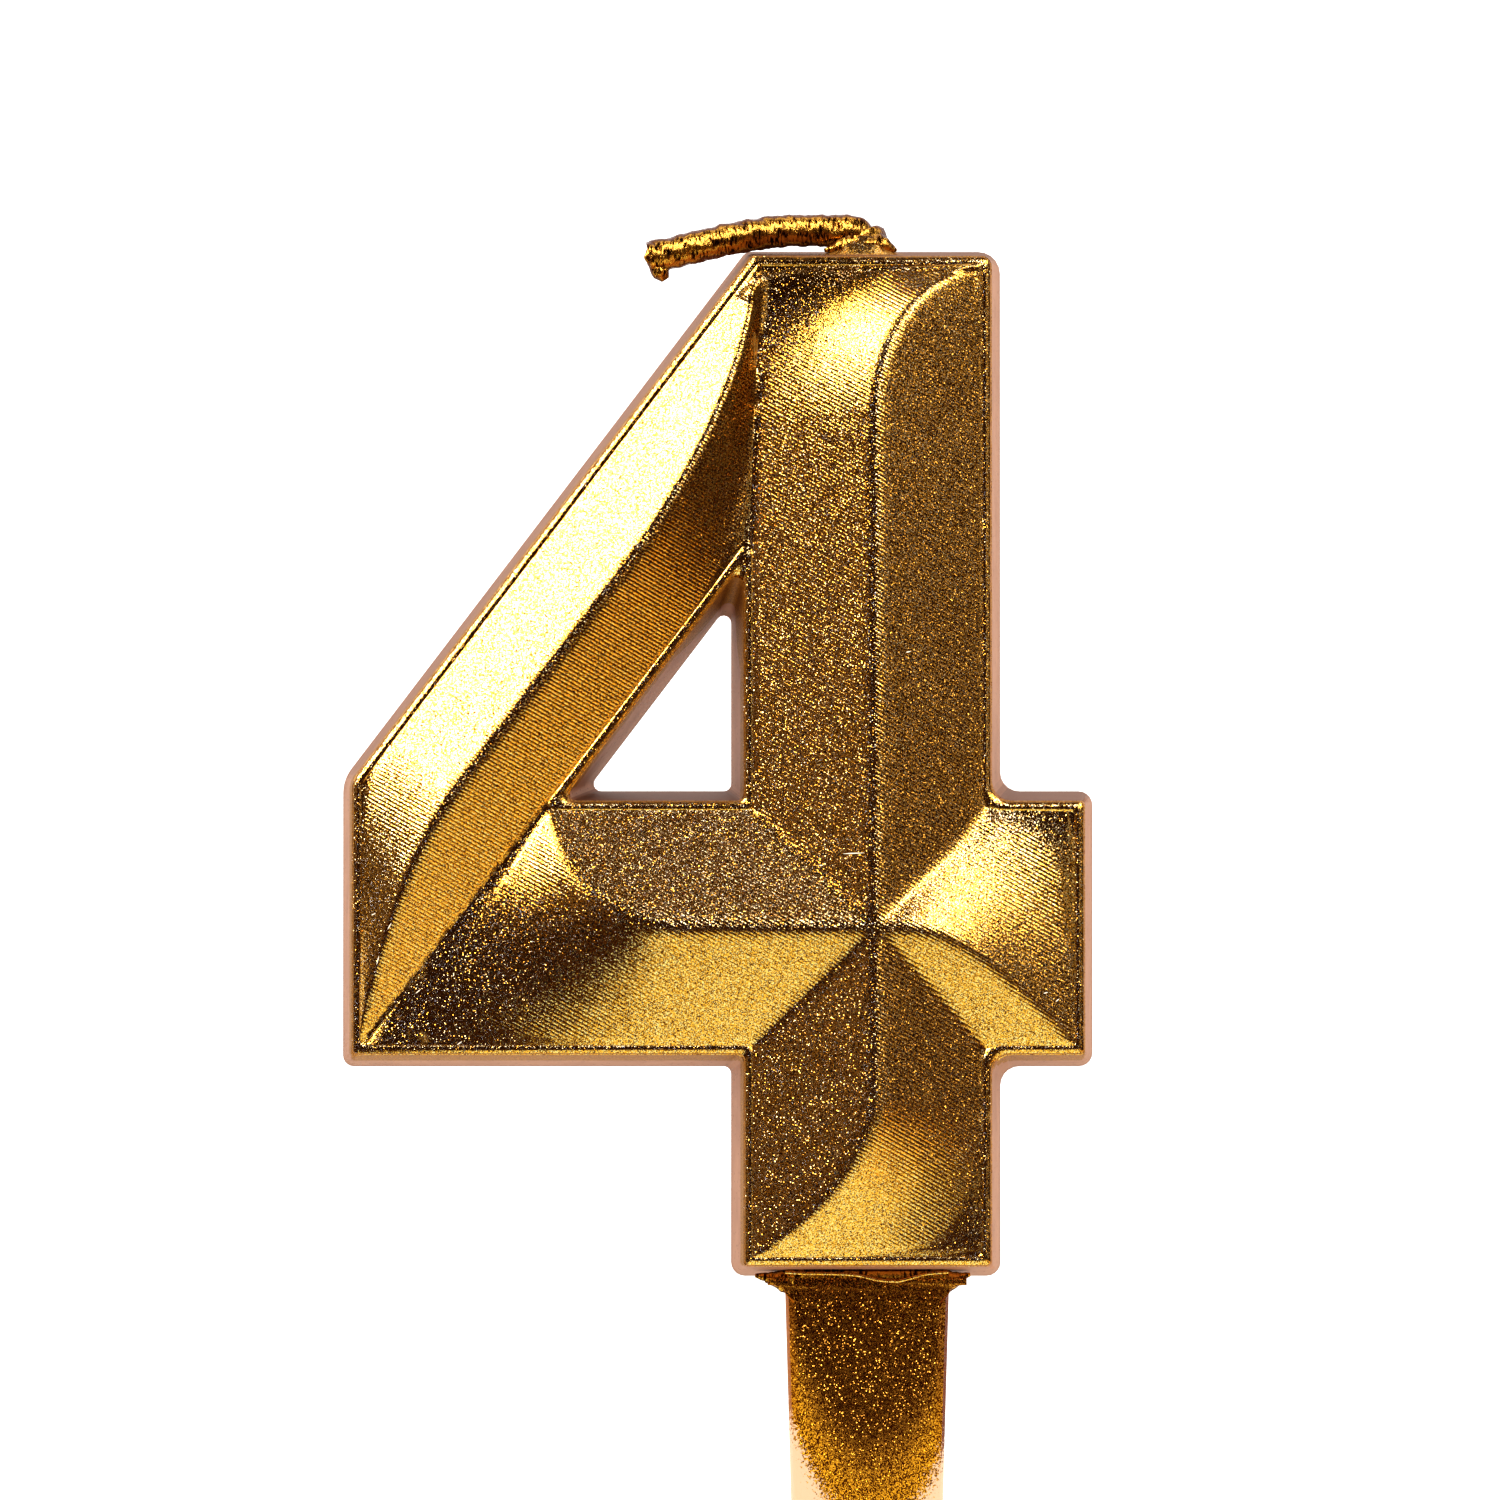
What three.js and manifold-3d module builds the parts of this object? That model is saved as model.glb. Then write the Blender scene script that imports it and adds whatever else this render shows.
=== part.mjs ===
// Number candle, figure four: a cast wax numeral with chiselled strokes, a bent wick and a flat plastic pick.
// Millimetres, +Z up. The chiselled face looks towards -Y and the flat back towards +Y.
// The origin lies under the middle of the stem, where the pick leaves the wax.

import * as THREE from "three";
import { mergeVertices } from "three/addons/utils/BufferGeometryUtils.js";
import Module from "manifold-3d";

const wasm = await Module();
wasm.setup();

// Numeral seen from the front. Its back edge is the widest, so these sizes are taken there.
const NUMERAL_HEIGHT = 70;
const STEM_WIDTH = 18.4;
const BAR_BOTTOM = 14.3;
const BAR_HEIGHT = 18.8;
const BAR_REACH_LEFT = 35.7;
const BAR_REACH_RIGHT = 15.5;
const LEFT_EDGE_HEIGHT = 19.6;
const TOP_WIDTH = 17.4;
const DIAGONAL_WIDTH = 13.7;

// Corner radii of the back edge.
const FOOT_RADIUS = 0.95;
const ARM_RADIUS = 0.95;
const TOP_RIGHT_RADIUS = 1.5;
const TOP_LEFT_RADIUS = 0.8;
const LEFT_SHOULDER_RADIUS = 2.7;
const BAR_END_RADIUS = 0.75;
const INNER_RADIUS = 1.3;
const INNER_LEFT_RADIUS = 0.5;
const WINDOW_RADIUS = 0.5;

// Depth of the casting: a drafted wall, a rim bead round the face and ridges that rise from it.
const WALL_DEPTH = 9;
const BACK_Y = 5;
const WALL_DRAFT = 0.84;
const BEAD_RADIUS = 0.42;
const BEAD_RISE = 0.12;
const BACK_EDGE_ROUND = 0.25;
const RIDGE_RISE = 3;
const RIDGE_ROUND = 0.55;
const ROUND_SHARE = 0.4;
const APRON_WIDTH = 3.8;
const APRON_FALL = 2.8;

// Ridge of each stroke: a straight run, then a curl to a corner at either end.
const STEM_RIDGE_OFFSET = 0.5;
const STEM_RIDGE_FOOT = 12.5;
const STEM_RIDGE_HEAD_DROP = 12.5;
const BAR_RIDGE_LEFT = 12.5;
const BAR_RIDGE_RIGHT = 2;
const DIAGONAL_RIDGE_HEAD = 47.6;
const DIAGONAL_RIDGE_FOOT = 33;
const DIAGONAL_HEAD_LAP = 0.8;

// How far each curl is drawn out of its corner, along X and Z, and out of the ridge's straight run.
const STEM_HEAD_PULL_X = 4.05;
const STEM_HEAD_PULL_Z = 0.83;
const STEM_HEAD_PULL_RUN = 7;
const STEM_FOOT_PULL_X = 5.34;
const STEM_FOOT_PULL_Z = 2.67;
const STEM_FOOT_PULL_RUN = 3.75;
const BAR_LEFT_PULL_X = 0.19;
const BAR_LEFT_PULL_Z = 4.14;
const BAR_LEFT_PULL_RUN = 5;
const BAR_RIGHT_PULL_X = 5.64;
const BAR_RIGHT_PULL_Z = 5.83;
const BAR_RIGHT_PULL_RUN = 4;
const DIAGONAL_HEAD_PULL_X = 0.27;
const DIAGONAL_HEAD_PULL_Z = 4.93;
const DIAGONAL_HEAD_PULL_RUN = 10.4;
const DIAGONAL_FOOT_PULL_X = 0.96;
const DIAGONAL_FOOT_PULL_Z = 6.99;
const DIAGONAL_FOOT_PULL_RUN = 4.25;

// Wick: coated cotton, set in the stem and bent flat over the top.
const WICK_DIAMETER = 1.8;
const WICK_DEPTH = 30;
const WICK_BEND_RADIUS = 1.4;
const WICK_LIFT = 0.35;
const WICK_RUN = 6.6;
const WICK_TIP_REACH = 6.5;
const WICK_TIP_DROP = 2.15;
const WICK_TIP_START = 0.3;
const WICK_TIP_EASE = 0.6;
const MOUND_RADIUS = 2.5;
const MOUND_HEIGHT = 0.9;
const MOUND_SHIFT = 0.4;

// Pick: a flat moulded blade with a shoulder under the wax and a barbed tang inside it.
const PICK_LENGTH = 50;
const PICK_WIDTH = 11.2;
const PICK_TAPER = 0.029;
const PICK_THICKNESS = 2;
const PICK_EDGE_ROUND = 0.75;
const PICK_TIP_LENGTH = 9;
const PICK_TIP_WIDTH = 2.6;
const SHOULDER_WIDTH = 13.5;
const SHOULDER_HEIGHT = 0.7;
const SHOULDER_FILLET = 1;
const SHOULDER_EDGE_ROUND = 0.1;
const TANG_LENGTH = 14;
const TANG_WIDTH = 8;
const TANG_THICKNESS = 1.5;
const TANG_BARB = 0.7;
const TANG_BARB_PITCH = 3;
const TANG_HOLE_RADIUS = 1.7;

// Clearance between the wax and what is cast into it.
const CLEARANCE = 0.3;

// How far cutting and joining solids run past the surface that they meet.
const RUN_PAST = 1;

// Pull of a cubic curve that follows a quarter circle, and the share of a radius that is always left.
const ARC_PULL = 0.55;
const LEAST_RADIUS = 1 / 3;

const ARC_STEPS = 5;
const BEAD_SIDES = 10;
const CURL_STEPS = 16;
const RUN_STEPS = 3;
const FLANK_STEPS = 3;
const CAP_STEPS = 4;
const ROUND_SIDES = 24;
const WICK_STEPS = 76;
const WICK_SIDES = 10;

const point = (x, z) => new THREE.Vector2(x, z);

// Turns a closed three.js geometry into a solid that can be joined and cut.
function toSolid(geometry) {
  const bare = geometry.index ? geometry.toNonIndexed() : geometry.clone();
  bare.deleteAttribute("normal");
  bare.deleteAttribute("uv");
  const merged = mergeVertices(bare, 1e-4);
  const corners = Array.from(merged.index.array);
  const kept = corners.filter((_, i) => {
    const [a, b, c] = corners.slice(i - (i % 3), i - (i % 3) + 3);
    return a !== b && b !== c && c !== a;
  });
  const mesh = {
    numProp: 3,
    vertProperties: new Float32Array(merged.attributes.position.array),
    triVerts: new Uint32Array(kept),
  };
  const solid = new wasm.Manifold(new wasm.Mesh(mesh));
  if (solid.volume() > 0) {
    return solid;
  }
  mesh.triVerts = mesh.triVerts.toReversed();
  return new wasm.Manifold(new wasm.Mesh(mesh));
}

function toGeometry(solid) {
  const mesh = solid.getMesh();
  const geometry = new THREE.BufferGeometry();
  geometry.setAttribute("position", new THREE.BufferAttribute(new Float32Array(mesh.vertProperties), 3));
  geometry.setIndex(new THREE.BufferAttribute(new Uint32Array(mesh.triVerts), 1));
  geometry.computeVertexNormals();
  return geometry;
}

function fromTriangles(points, triangles) {
  const geometry = new THREE.BufferGeometry();
  const places = points.flatMap((p) => [p.x, p.y, p.z]);
  geometry.setAttribute("position", new THREE.Float32BufferAttribute(places, 3));
  geometry.setIndex(triangles.flat());
  return geometry;
}

// Where two lines cross, each given by a point and a direction.
function crossing(p, along, q, across) {
  const t = q.clone().sub(p).cross(across) / along.cross(across);
  return p.clone().addScaledVector(along, t);
}

// One ring of an outline whose sides have all moved into the wax by the same inset.
// Corners that point out of the wax get tighter as they move in, and the others keep their radius.
function insetRing(corners, inset) {
  const count = corners.length;
  const sides = corners.map((corner, i) => {
    const next = corners[(i + 1) % count].at;
    const along = next.clone().sub(corner.at).normalize();
    const inward = point(-along.y, along.x);
    return { from: corner.at.clone().addScaledVector(inward, inset), along };
  });
  return corners.flatMap((corner, i) => {
    const before = sides[(i + count - 1) % count];
    const after = sides[i];
    const tip = crossing(before.from, before.along, after.from, after.along);
    const turn = Math.atan2(before.along.cross(after.along), before.along.dot(after.along));
    const radius = turn > 0 ? Math.max(corner.radius - inset, corner.radius * LEAST_RADIUS) : corner.radius;
    const start = tip.clone().addScaledVector(before.along, -radius * Math.tan(Math.abs(turn) / 2));
    const side = Math.sign(turn);
    const centre = start.clone().add(point(-before.along.y, before.along.x).multiplyScalar(radius * side));
    return Array.from({ length: ARC_STEPS + 1 }, (_, k) =>
      start.clone().rotateAround(centre, (turn * k) / ARC_STEPS),
    );
  });
}

// Side walls between rings of equal length. A closed chain of rings runs back into its first one.
function ringWalls(rings, closed) {
  const size = rings[0].points.length;
  const bands = closed ? rings.length : rings.length - 1;
  const triangles = [];
  for (let r = 0; r < bands; r += 1) {
    const here = r * size;
    const there = ((r + 1) % rings.length) * size;
    for (let i = 0; i < size; i += 1) {
      const j = (i + 1) % size;
      triangles.push([here + i, here + j, there + j], [here + i, there + j, there + i]);
    }
  }
  return triangles;
}

const ringPoints = (rings) =>
  rings.flatMap((ring) => ring.points.map((p) => new THREE.Vector3(p.x, ring.y, p.y)));

// A block through rings of equal length, closed at its first and last ring.
function loft(rings) {
  const triangles = ringWalls(rings, false);
  const last = (rings.length - 1) * rings[0].points.length;
  for (const [a, b, c] of THREE.ShapeUtils.triangulateShape(rings[0].points, [])) {
    triangles.push([a, c, b]);
  }
  for (const [a, b, c] of THREE.ShapeUtils.triangulateShape(rings.at(-1).points, [])) {
    triangles.push([last + a, last + b, last + c]);
  }
  return toSolid(fromTriangles(ringPoints(rings), triangles));
}

const stemHalf = STEM_WIDTH / 2;
const barTop = BAR_BOTTOM + BAR_HEIGHT;
const rimY = BACK_Y - WALL_DEPTH;
const faceInset = WALL_DRAFT + BEAD_RADIUS;

// The slanted outer edge runs from the left shoulder to the top left corner.
const shoulder = point(-BAR_REACH_LEFT, BAR_BOTTOM + LEFT_EDGE_HEIGHT);
const topLeft = point(stemHalf - TOP_WIDTH, NUMERAL_HEIGHT);
const slant = topLeft.clone().sub(shoulder).normalize();
const slantInward = point(slant.y, -slant.x);

const OUTLINE = [
  { at: point(-stemHalf, 0), radius: FOOT_RADIUS },
  { at: point(stemHalf, 0), radius: FOOT_RADIUS },
  { at: point(stemHalf, BAR_BOTTOM), radius: INNER_RADIUS },
  { at: point(BAR_REACH_RIGHT, BAR_BOTTOM), radius: ARM_RADIUS },
  { at: point(BAR_REACH_RIGHT, barTop), radius: ARM_RADIUS },
  { at: point(stemHalf, barTop), radius: INNER_RADIUS },
  { at: point(stemHalf, NUMERAL_HEIGHT), radius: TOP_RIGHT_RADIUS },
  { at: topLeft, radius: TOP_LEFT_RADIUS },
  { at: shoulder, radius: LEFT_SHOULDER_RADIUS },
  { at: point(-BAR_REACH_LEFT, BAR_BOTTOM), radius: BAR_END_RADIUS },
  { at: point(-stemHalf, BAR_BOTTOM), radius: INNER_LEFT_RADIUS },
];

// The three-cornered window is what the stem, the bar and the diagonal leave open between them.
const windowSide = shoulder.clone().addScaledVector(slantInward, DIAGONAL_WIDTH);
const windowLeft = crossing(windowSide, slant, point(0, barTop), point(1, 0));
const windowTop = crossing(windowSide, slant, point(-stemHalf, 0), point(0, 1));
const WINDOW = [
  { at: windowLeft, radius: WINDOW_RADIUS },
  { at: windowTop, radius: WINDOW_RADIUS },
  { at: point(-stemHalf, barTop), radius: WINDOW_RADIUS },
];

// Wall section: inset from the back edge against depth, from the back to well past the ridges.
function wallSection() {
  const past = 2 * RIDGE_RISE;
  return [
    { inset: BACK_EDGE_ROUND, y: BACK_Y },
    { inset: BACK_EDGE_ROUND / 4, y: BACK_Y - BACK_EDGE_ROUND / 4 },
    { inset: 0, y: BACK_Y - BACK_EDGE_ROUND },
    { inset: WALL_DRAFT, y: rimY },
    { inset: WALL_DRAFT + past / 2, y: rimY - past },
  ];
}

// The drafted block that the mould leaves, before the strokes are cut into its face.
function mouldBlock() {
  const section = wallSection();
  const block = loft(section.map(({ inset, y }) => ({ points: insetRing(OUTLINE, inset), y })));
  const core = section.map(({ inset, y }) => ({ points: insetRing(WINDOW, inset).reverse(), y }));
  core.unshift({ points: core[0].points, y: BACK_Y + RUN_PAST });
  return block.subtract(loft(core));
}

// Rounded bead along one edge of the face. Its outer side runs into the wall.
function rimBead(corners) {
  const rings = Array.from({ length: BEAD_SIDES }, (_, k) => {
    const angle = (2 * Math.PI * k) / BEAD_SIDES;
    const inset = faceInset + BEAD_RADIUS * Math.cos(angle);
    const y = rimY + BEAD_RADIUS * (1 - Math.sin(angle)) - BEAD_RISE;
    return { points: insetRing(corners, inset), y };
  });
  return toSolid(fromTriangles(ringPoints(rings), ringWalls(rings, true)));
}

// Foot of the perpendicular from a point to the line through two corners.
function foot(from, [start, end]) {
  const line = end.clone().sub(start).normalize();
  return start.clone().addScaledVector(line, from.clone().sub(start).dot(line));
}

// Evenly spaced points from one point towards another, without the last one.
function spaced(from, to, steps) {
  return Array.from({ length: steps }, (_, k) => from.clone().lerp(to, k / steps));
}

// Points of a long edge, matched one to one with the points of the ridge.
function edgePoints(edge, { head, tail }) {
  const headFoot = foot(head, edge);
  const tailFoot = foot(tail, edge);
  return [
    ...spaced(edge[0], headFoot, CURL_STEPS),
    ...spaced(headFoot, tailFoot, RUN_STEPS),
    ...spaced(tailFoot, edge[1], CURL_STEPS),
    edge[1].clone(),
  ];
}

// Ridge of a stroke: a curl out of one corner, a level run, and a curl into the opposite corner.
// The facet that ends at that corner stays flat, so the ridge there rises with the distance to its
// long edge. The other facet winds down until it lies along the stroke's end.
function ridgeLine({ left, right, startsLeft, head, tail, headCurl, tailCurl }) {
  const [headFlat, tailFlat] = startsLeft ? [left, right] : [right, left];
  const run = tail.clone().sub(head).normalize();
  const riseBy = (edge, full) => {
    const reach = foot(full, edge).distanceTo(full);
    return (at) => (RIDGE_RISE * foot(at, edge).distanceTo(at)) / reach;
  };
  const leave = new THREE.CubicBezierCurve(
    headFlat[0],
    headFlat[0].clone().add(headCurl.corner),
    head.clone().addScaledVector(run, -headCurl.run),
    head,
  );
  const arrive = new THREE.CubicBezierCurve(
    tail,
    tail.clone().addScaledVector(run, tailCurl.run),
    tailFlat[1].clone().add(tailCurl.corner),
    tailFlat[1],
  );
  const curl = (curve, rise) => curve.getPoints(CURL_STEPS).map((at) => ({ at, rise: rise(at) }));
  const level = spaced(head, tail, RUN_STEPS).map((at) => ({ at, rise: RIDGE_RISE }));
  const start = curl(leave, riseBy(headFlat, head)).slice(0, -1);
  return [...start, ...level, ...curl(arrive, riseBy(tailFlat, tail))];
}

// One cut across a stroke, from its left edge over the rounded ridge to its right edge.
function crossSection(leftEdge, rightEdge, crest, rise) {
  const flank = (edge) => {
    const rounded = Math.min(RIDGE_ROUND / edge.distanceTo(crest), ROUND_SHARE);
    return Array.from({ length: FLANK_STEPS + 1 }, (_, k) => {
      const share = ((1 - rounded) * k) / FLANK_STEPS;
      return { at: edge.clone().lerp(crest, share), rise: rise * share };
    });
  };
  const left = flank(leftEdge);
  const right = flank(rightEdge).reverse();
  const from = left.at(-1);
  const to = right[0];
  const over = new THREE.QuadraticBezierCurve(from.at, crest, to.at);
  const cap = [];
  for (let k = 1; k < CAP_STEPS; k += 1) {
    const t = k / CAP_STEPS;
    const height = (1 - t) ** 2 * from.rise + 2 * t * (1 - t) * rise + t ** 2 * to.rise;
    cap.push({ at: over.getPoint(t), rise: height });
  }
  return [...left, ...cap, ...right];
}

// Columns of points over a stroke: its cuts from one end to the other, and round them an apron
// that falls away outside the stroke.
function strokeColumns(stroke) {
  const { left, right } = stroke;
  const leftEdge = edgePoints(left, stroke);
  const rightEdge = edgePoints(right, stroke);
  const cuts = ridgeLine(stroke).map(({ at, rise }, i) => {
    return crossSection(leftEdge[i], rightEdge[i], at, rise);
  });
  const out = (from, to) => to.clone().sub(from).normalize().rotateAround(point(0, 0), Math.PI / 2);
  const leftOut = out(left[0], left[1]);
  const endOut = out(left[1], right[1]);
  const rightOut = out(right[1], right[0]);
  const startOut = out(right[0], left[0]);
  const skirt = (at, one, other) => {
    const reach = APRON_WIDTH / (1 + one.dot(other));
    return { at: at.clone().addScaledVector(one.clone().add(other), reach), rise: -APRON_FALL };
  };
  const past = (cut, away) => [
    skirt(cut[0].at, leftOut, away),
    ...cut.map(({ at }) => skirt(at, away, away)),
    skirt(cut.at(-1).at, rightOut, away),
  ];
  const across = cuts.map((cut) => [
    skirt(cut[0].at, leftOut, leftOut),
    ...cut,
    skirt(cut.at(-1).at, rightOut, rightOut),
  ]);
  return [past(cuts[0], startOut), ...across, past(cuts.at(-1), endOut)];
}

// A stroke roof: the surface through its columns of points, standing on a base behind the casting.
function strokeRoof(stroke) {
  const columns = strokeColumns(stroke);
  const rows = columns[0].length;
  const index = (column, row) => column * rows + row;
  const points = columns.flat().map(({ at, rise }) => new THREE.Vector3(at.x, rimY - rise, at.y));
  const triangles = [];
  for (let c = 0; c + 1 < columns.length; c += 1) {
    for (let r = 0; r + 1 < rows; r += 1) {
      triangles.push([index(c, r), index(c + 1, r + 1), index(c + 1, r)]);
      triangles.push([index(c, r), index(c, r + 1), index(c + 1, r + 1)]);
    }
  }
  const lastColumn = columns.length - 1;
  const lastRow = rows - 1;
  const loop = [
    ...Array.from({ length: lastColumn }, (_, k) => index(k, 0)),
    ...Array.from({ length: lastRow }, (_, k) => index(lastColumn, k)),
    ...Array.from({ length: lastColumn }, (_, k) => index(lastColumn - k, lastRow)),
    ...Array.from({ length: lastRow }, (_, k) => index(0, lastRow - k)),
  ];
  const first = points.length;
  const plan = loop.map((k) => point(points[k].x, points[k].z));
  points.push(...plan.map((p) => new THREE.Vector3(p.x, BACK_Y + RUN_PAST, p.y)));
  for (let i = 0; i < loop.length; i += 1) {
    const j = (i + 1) % loop.length;
    triangles.push([loop[j], first + i, loop[i]], [loop[j], first + j, first + i]);
  }
  for (const [a, b, c] of THREE.ShapeUtils.triangulateShape(plan, [])) {
    triangles.push([first + a, first + c, first + b]);
  }
  return toSolid(fromTriangles(points, triangles));
}

// Front edges of the strokes, all inset from the back edge by the draft and the rim.
const front = {
  left: -BAR_REACH_LEFT + faceInset,
  right: BAR_REACH_RIGHT - faceInset,
  stemLeft: -stemHalf + faceInset,
  stemRight: stemHalf - faceInset,
  top: NUMERAL_HEIGHT - faceInset,
  foot: faceInset,
  barTop: barTop - faceInset,
  barFoot: BAR_BOTTOM + faceInset,
};
const slantEdge = shoulder.clone().addScaledVector(slantInward, faceInset);
const windowEdge = windowSide.clone().addScaledVector(slantInward, -faceInset);
const diagonalMiddle = slantEdge.clone().add(windowEdge).multiplyScalar(0.5);
const level = (z) => [point(0, z), point(1, 0)];
const upright = (x) => [point(x, 0), point(0, 1)];

function stemStroke() {
  return strokeRoof({
    left: [point(front.stemRight, front.top), point(front.stemRight, front.foot)],
    right: [point(front.stemLeft, front.top), point(front.stemLeft, front.foot)],
    startsLeft: true,
    head: point(STEM_RIDGE_OFFSET, NUMERAL_HEIGHT - STEM_RIDGE_HEAD_DROP),
    tail: point(STEM_RIDGE_OFFSET, STEM_RIDGE_FOOT),
    headCurl: { corner: point(-STEM_HEAD_PULL_X, -STEM_HEAD_PULL_Z), run: STEM_HEAD_PULL_RUN },
    tailCurl: { corner: point(STEM_FOOT_PULL_X, STEM_FOOT_PULL_Z), run: STEM_FOOT_PULL_RUN },
  });
}

function barStroke() {
  const middle = (front.barTop + front.barFoot) / 2;
  const topLeftCorner = crossing(windowEdge, slant, ...level(front.barTop));
  const footLeft = crossing(windowEdge, slant, ...level(front.barFoot));
  return strokeRoof({
    left: [topLeftCorner, point(front.right, front.barTop)],
    right: [footLeft, point(front.right, front.barFoot)],
    startsLeft: true,
    head: point(-BAR_RIDGE_LEFT, middle),
    tail: point(BAR_RIDGE_RIGHT, middle),
    headCurl: { corner: point(BAR_LEFT_PULL_X, -BAR_LEFT_PULL_Z), run: BAR_LEFT_PULL_RUN },
    tailCurl: { corner: point(-BAR_RIGHT_PULL_X, BAR_RIGHT_PULL_Z), run: BAR_RIGHT_PULL_RUN },
  });
}

function diagonalStroke() {
  const head = crossing(slantEdge, slant, ...upright(front.stemLeft + DIAGONAL_HEAD_LAP));
  const shoulderCorner = crossing(slantEdge, slant, ...upright(front.left));
  const windowHead = crossing(windowEdge, slant, ...upright(front.stemLeft));
  return strokeRoof({
    left: [windowHead, point(front.left, front.barFoot)],
    right: [head, shoulderCorner],
    startsLeft: false,
    head: crossing(diagonalMiddle, slant, ...level(DIAGONAL_RIDGE_HEAD)),
    tail: crossing(diagonalMiddle, slant, ...level(DIAGONAL_RIDGE_FOOT)),
    headCurl: { corner: point(-DIAGONAL_HEAD_PULL_X, -DIAGONAL_HEAD_PULL_Z), run: DIAGONAL_HEAD_PULL_RUN },
    tailCurl: { corner: point(DIAGONAL_FOOT_PULL_X, DIAGONAL_FOOT_PULL_Z), run: DIAGONAL_FOOT_PULL_RUN },
  });
}

// Centre line of the wick, from its buried end up through the mound, over the top and down to its tip.
function wickPath(extra) {
  const radius = WICK_DIAMETER / 2;
  const overTop = NUMERAL_HEIGHT + WICK_LIFT + radius;
  const bendStart = overTop - WICK_BEND_RADIUS;
  const at = (x, z) => new THREE.Vector3(x, 0, z);
  const path = new THREE.CurvePath();
  path.add(new THREE.LineCurve3(at(0, NUMERAL_HEIGHT - WICK_DEPTH - extra), at(0, bendStart)));
  path.add(new THREE.CubicBezierCurve3(
    at(0, bendStart),
    at(0, bendStart + WICK_BEND_RADIUS * ARC_PULL),
    at(-WICK_BEND_RADIUS * (1 - ARC_PULL), overTop),
    at(-WICK_BEND_RADIUS, overTop),
  ));
  const runEnd = -WICK_BEND_RADIUS - WICK_RUN;
  path.add(new THREE.LineCurve3(at(-WICK_BEND_RADIUS, overTop), at(runEnd, overTop)));
  path.add(new THREE.CubicBezierCurve3(
    at(runEnd, overTop),
    at(runEnd - WICK_TIP_REACH * WICK_TIP_START, overTop),
    at(runEnd - WICK_TIP_REACH * WICK_TIP_EASE, overTop - WICK_TIP_DROP * WICK_TIP_EASE),
    at(runEnd - WICK_TIP_REACH, overTop - WICK_TIP_DROP),
  ));
  return path;
}

function wickTube(radius, extra) {
  const section = new THREE.Shape();
  section.absarc(0, 0, radius, 0, 2 * Math.PI);
  return toSolid(new THREE.ExtrudeGeometry(section, {
    steps: WICK_STEPS,
    curveSegments: WICK_SIDES / 2,
    extrudePath: wickPath(extra),
  }));
}

// Wax that climbs the wick where it leaves the top, in a hollow curve.
function wickMound() {
  const neck = WICK_DIAMETER / 2 + 2 * CLEARANCE;
  const flare = new THREE.QuadraticBezierCurve(
    point(MOUND_RADIUS, 0),
    point(neck + CLEARANCE, MOUND_HEIGHT / 4),
    point(neck, MOUND_HEIGHT),
  );
  const profile = [
    point(0, -RUN_PAST),
    point(MOUND_RADIUS, -RUN_PAST),
    ...flare.getPoints(ARC_STEPS),
    point(0, MOUND_HEIGHT),
  ];
  const mound = new THREE.LatheGeometry(profile, ROUND_SIDES);
  mound.rotateX(Math.PI / 2);
  mound.translate(-MOUND_SHIFT, 0, NUMERAL_HEIGHT);
  return toSolid(mound);
}

// Flat moulding in the X-Z plane, centred on the pick's own plane.
function slab(shape, thickness, edge) {
  const geometry = new THREE.ExtrudeGeometry(shape, {
    depth: thickness - 2 * edge,
    bevelEnabled: edge > 0,
    bevelThickness: edge,
    bevelSize: edge,
    bevelOffset: -edge,
    bevelSegments: 2,
    curveSegments: 8,
  });
  geometry.translate(0, 0, edge - thickness / 2);
  geometry.rotateX(Math.PI / 2);
  return toSolid(geometry);
}

function bladeShape() {
  const half = PICK_WIDTH / 2;
  const tipTop = -PICK_LENGTH + PICK_TIP_LENGTH;
  const tipHalf = half - PICK_TAPER * (PICK_LENGTH - PICK_TIP_LENGTH);
  const shape = new THREE.Shape();
  shape.moveTo(-half, 0);
  shape.lineTo(-tipHalf, tipTop);
  shape.lineTo(-PICK_TIP_WIDTH / 2, -PICK_LENGTH);
  shape.lineTo(PICK_TIP_WIDTH / 2, -PICK_LENGTH);
  shape.lineTo(tipHalf, tipTop);
  shape.lineTo(half, 0);
  shape.closePath();
  return shape;
}

function shoulderShape() {
  const half = PICK_WIDTH / 2 - PICK_TAPER * SHOULDER_HEIGHT;
  const shoulderHalf = SHOULDER_WIDTH / 2;
  const filletFoot = -SHOULDER_HEIGHT - SHOULDER_FILLET;
  const shape = new THREE.Shape();
  shape.moveTo(-shoulderHalf, 0);
  shape.lineTo(-shoulderHalf, -SHOULDER_HEIGHT);
  shape.quadraticCurveTo(-half, -SHOULDER_HEIGHT, -half, filletFoot);
  shape.lineTo(half, filletFoot);
  shape.quadraticCurveTo(half, -SHOULDER_HEIGHT, shoulderHalf, -SHOULDER_HEIGHT);
  shape.lineTo(shoulderHalf, 0);
  shape.closePath();
  return shape;
}

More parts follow.
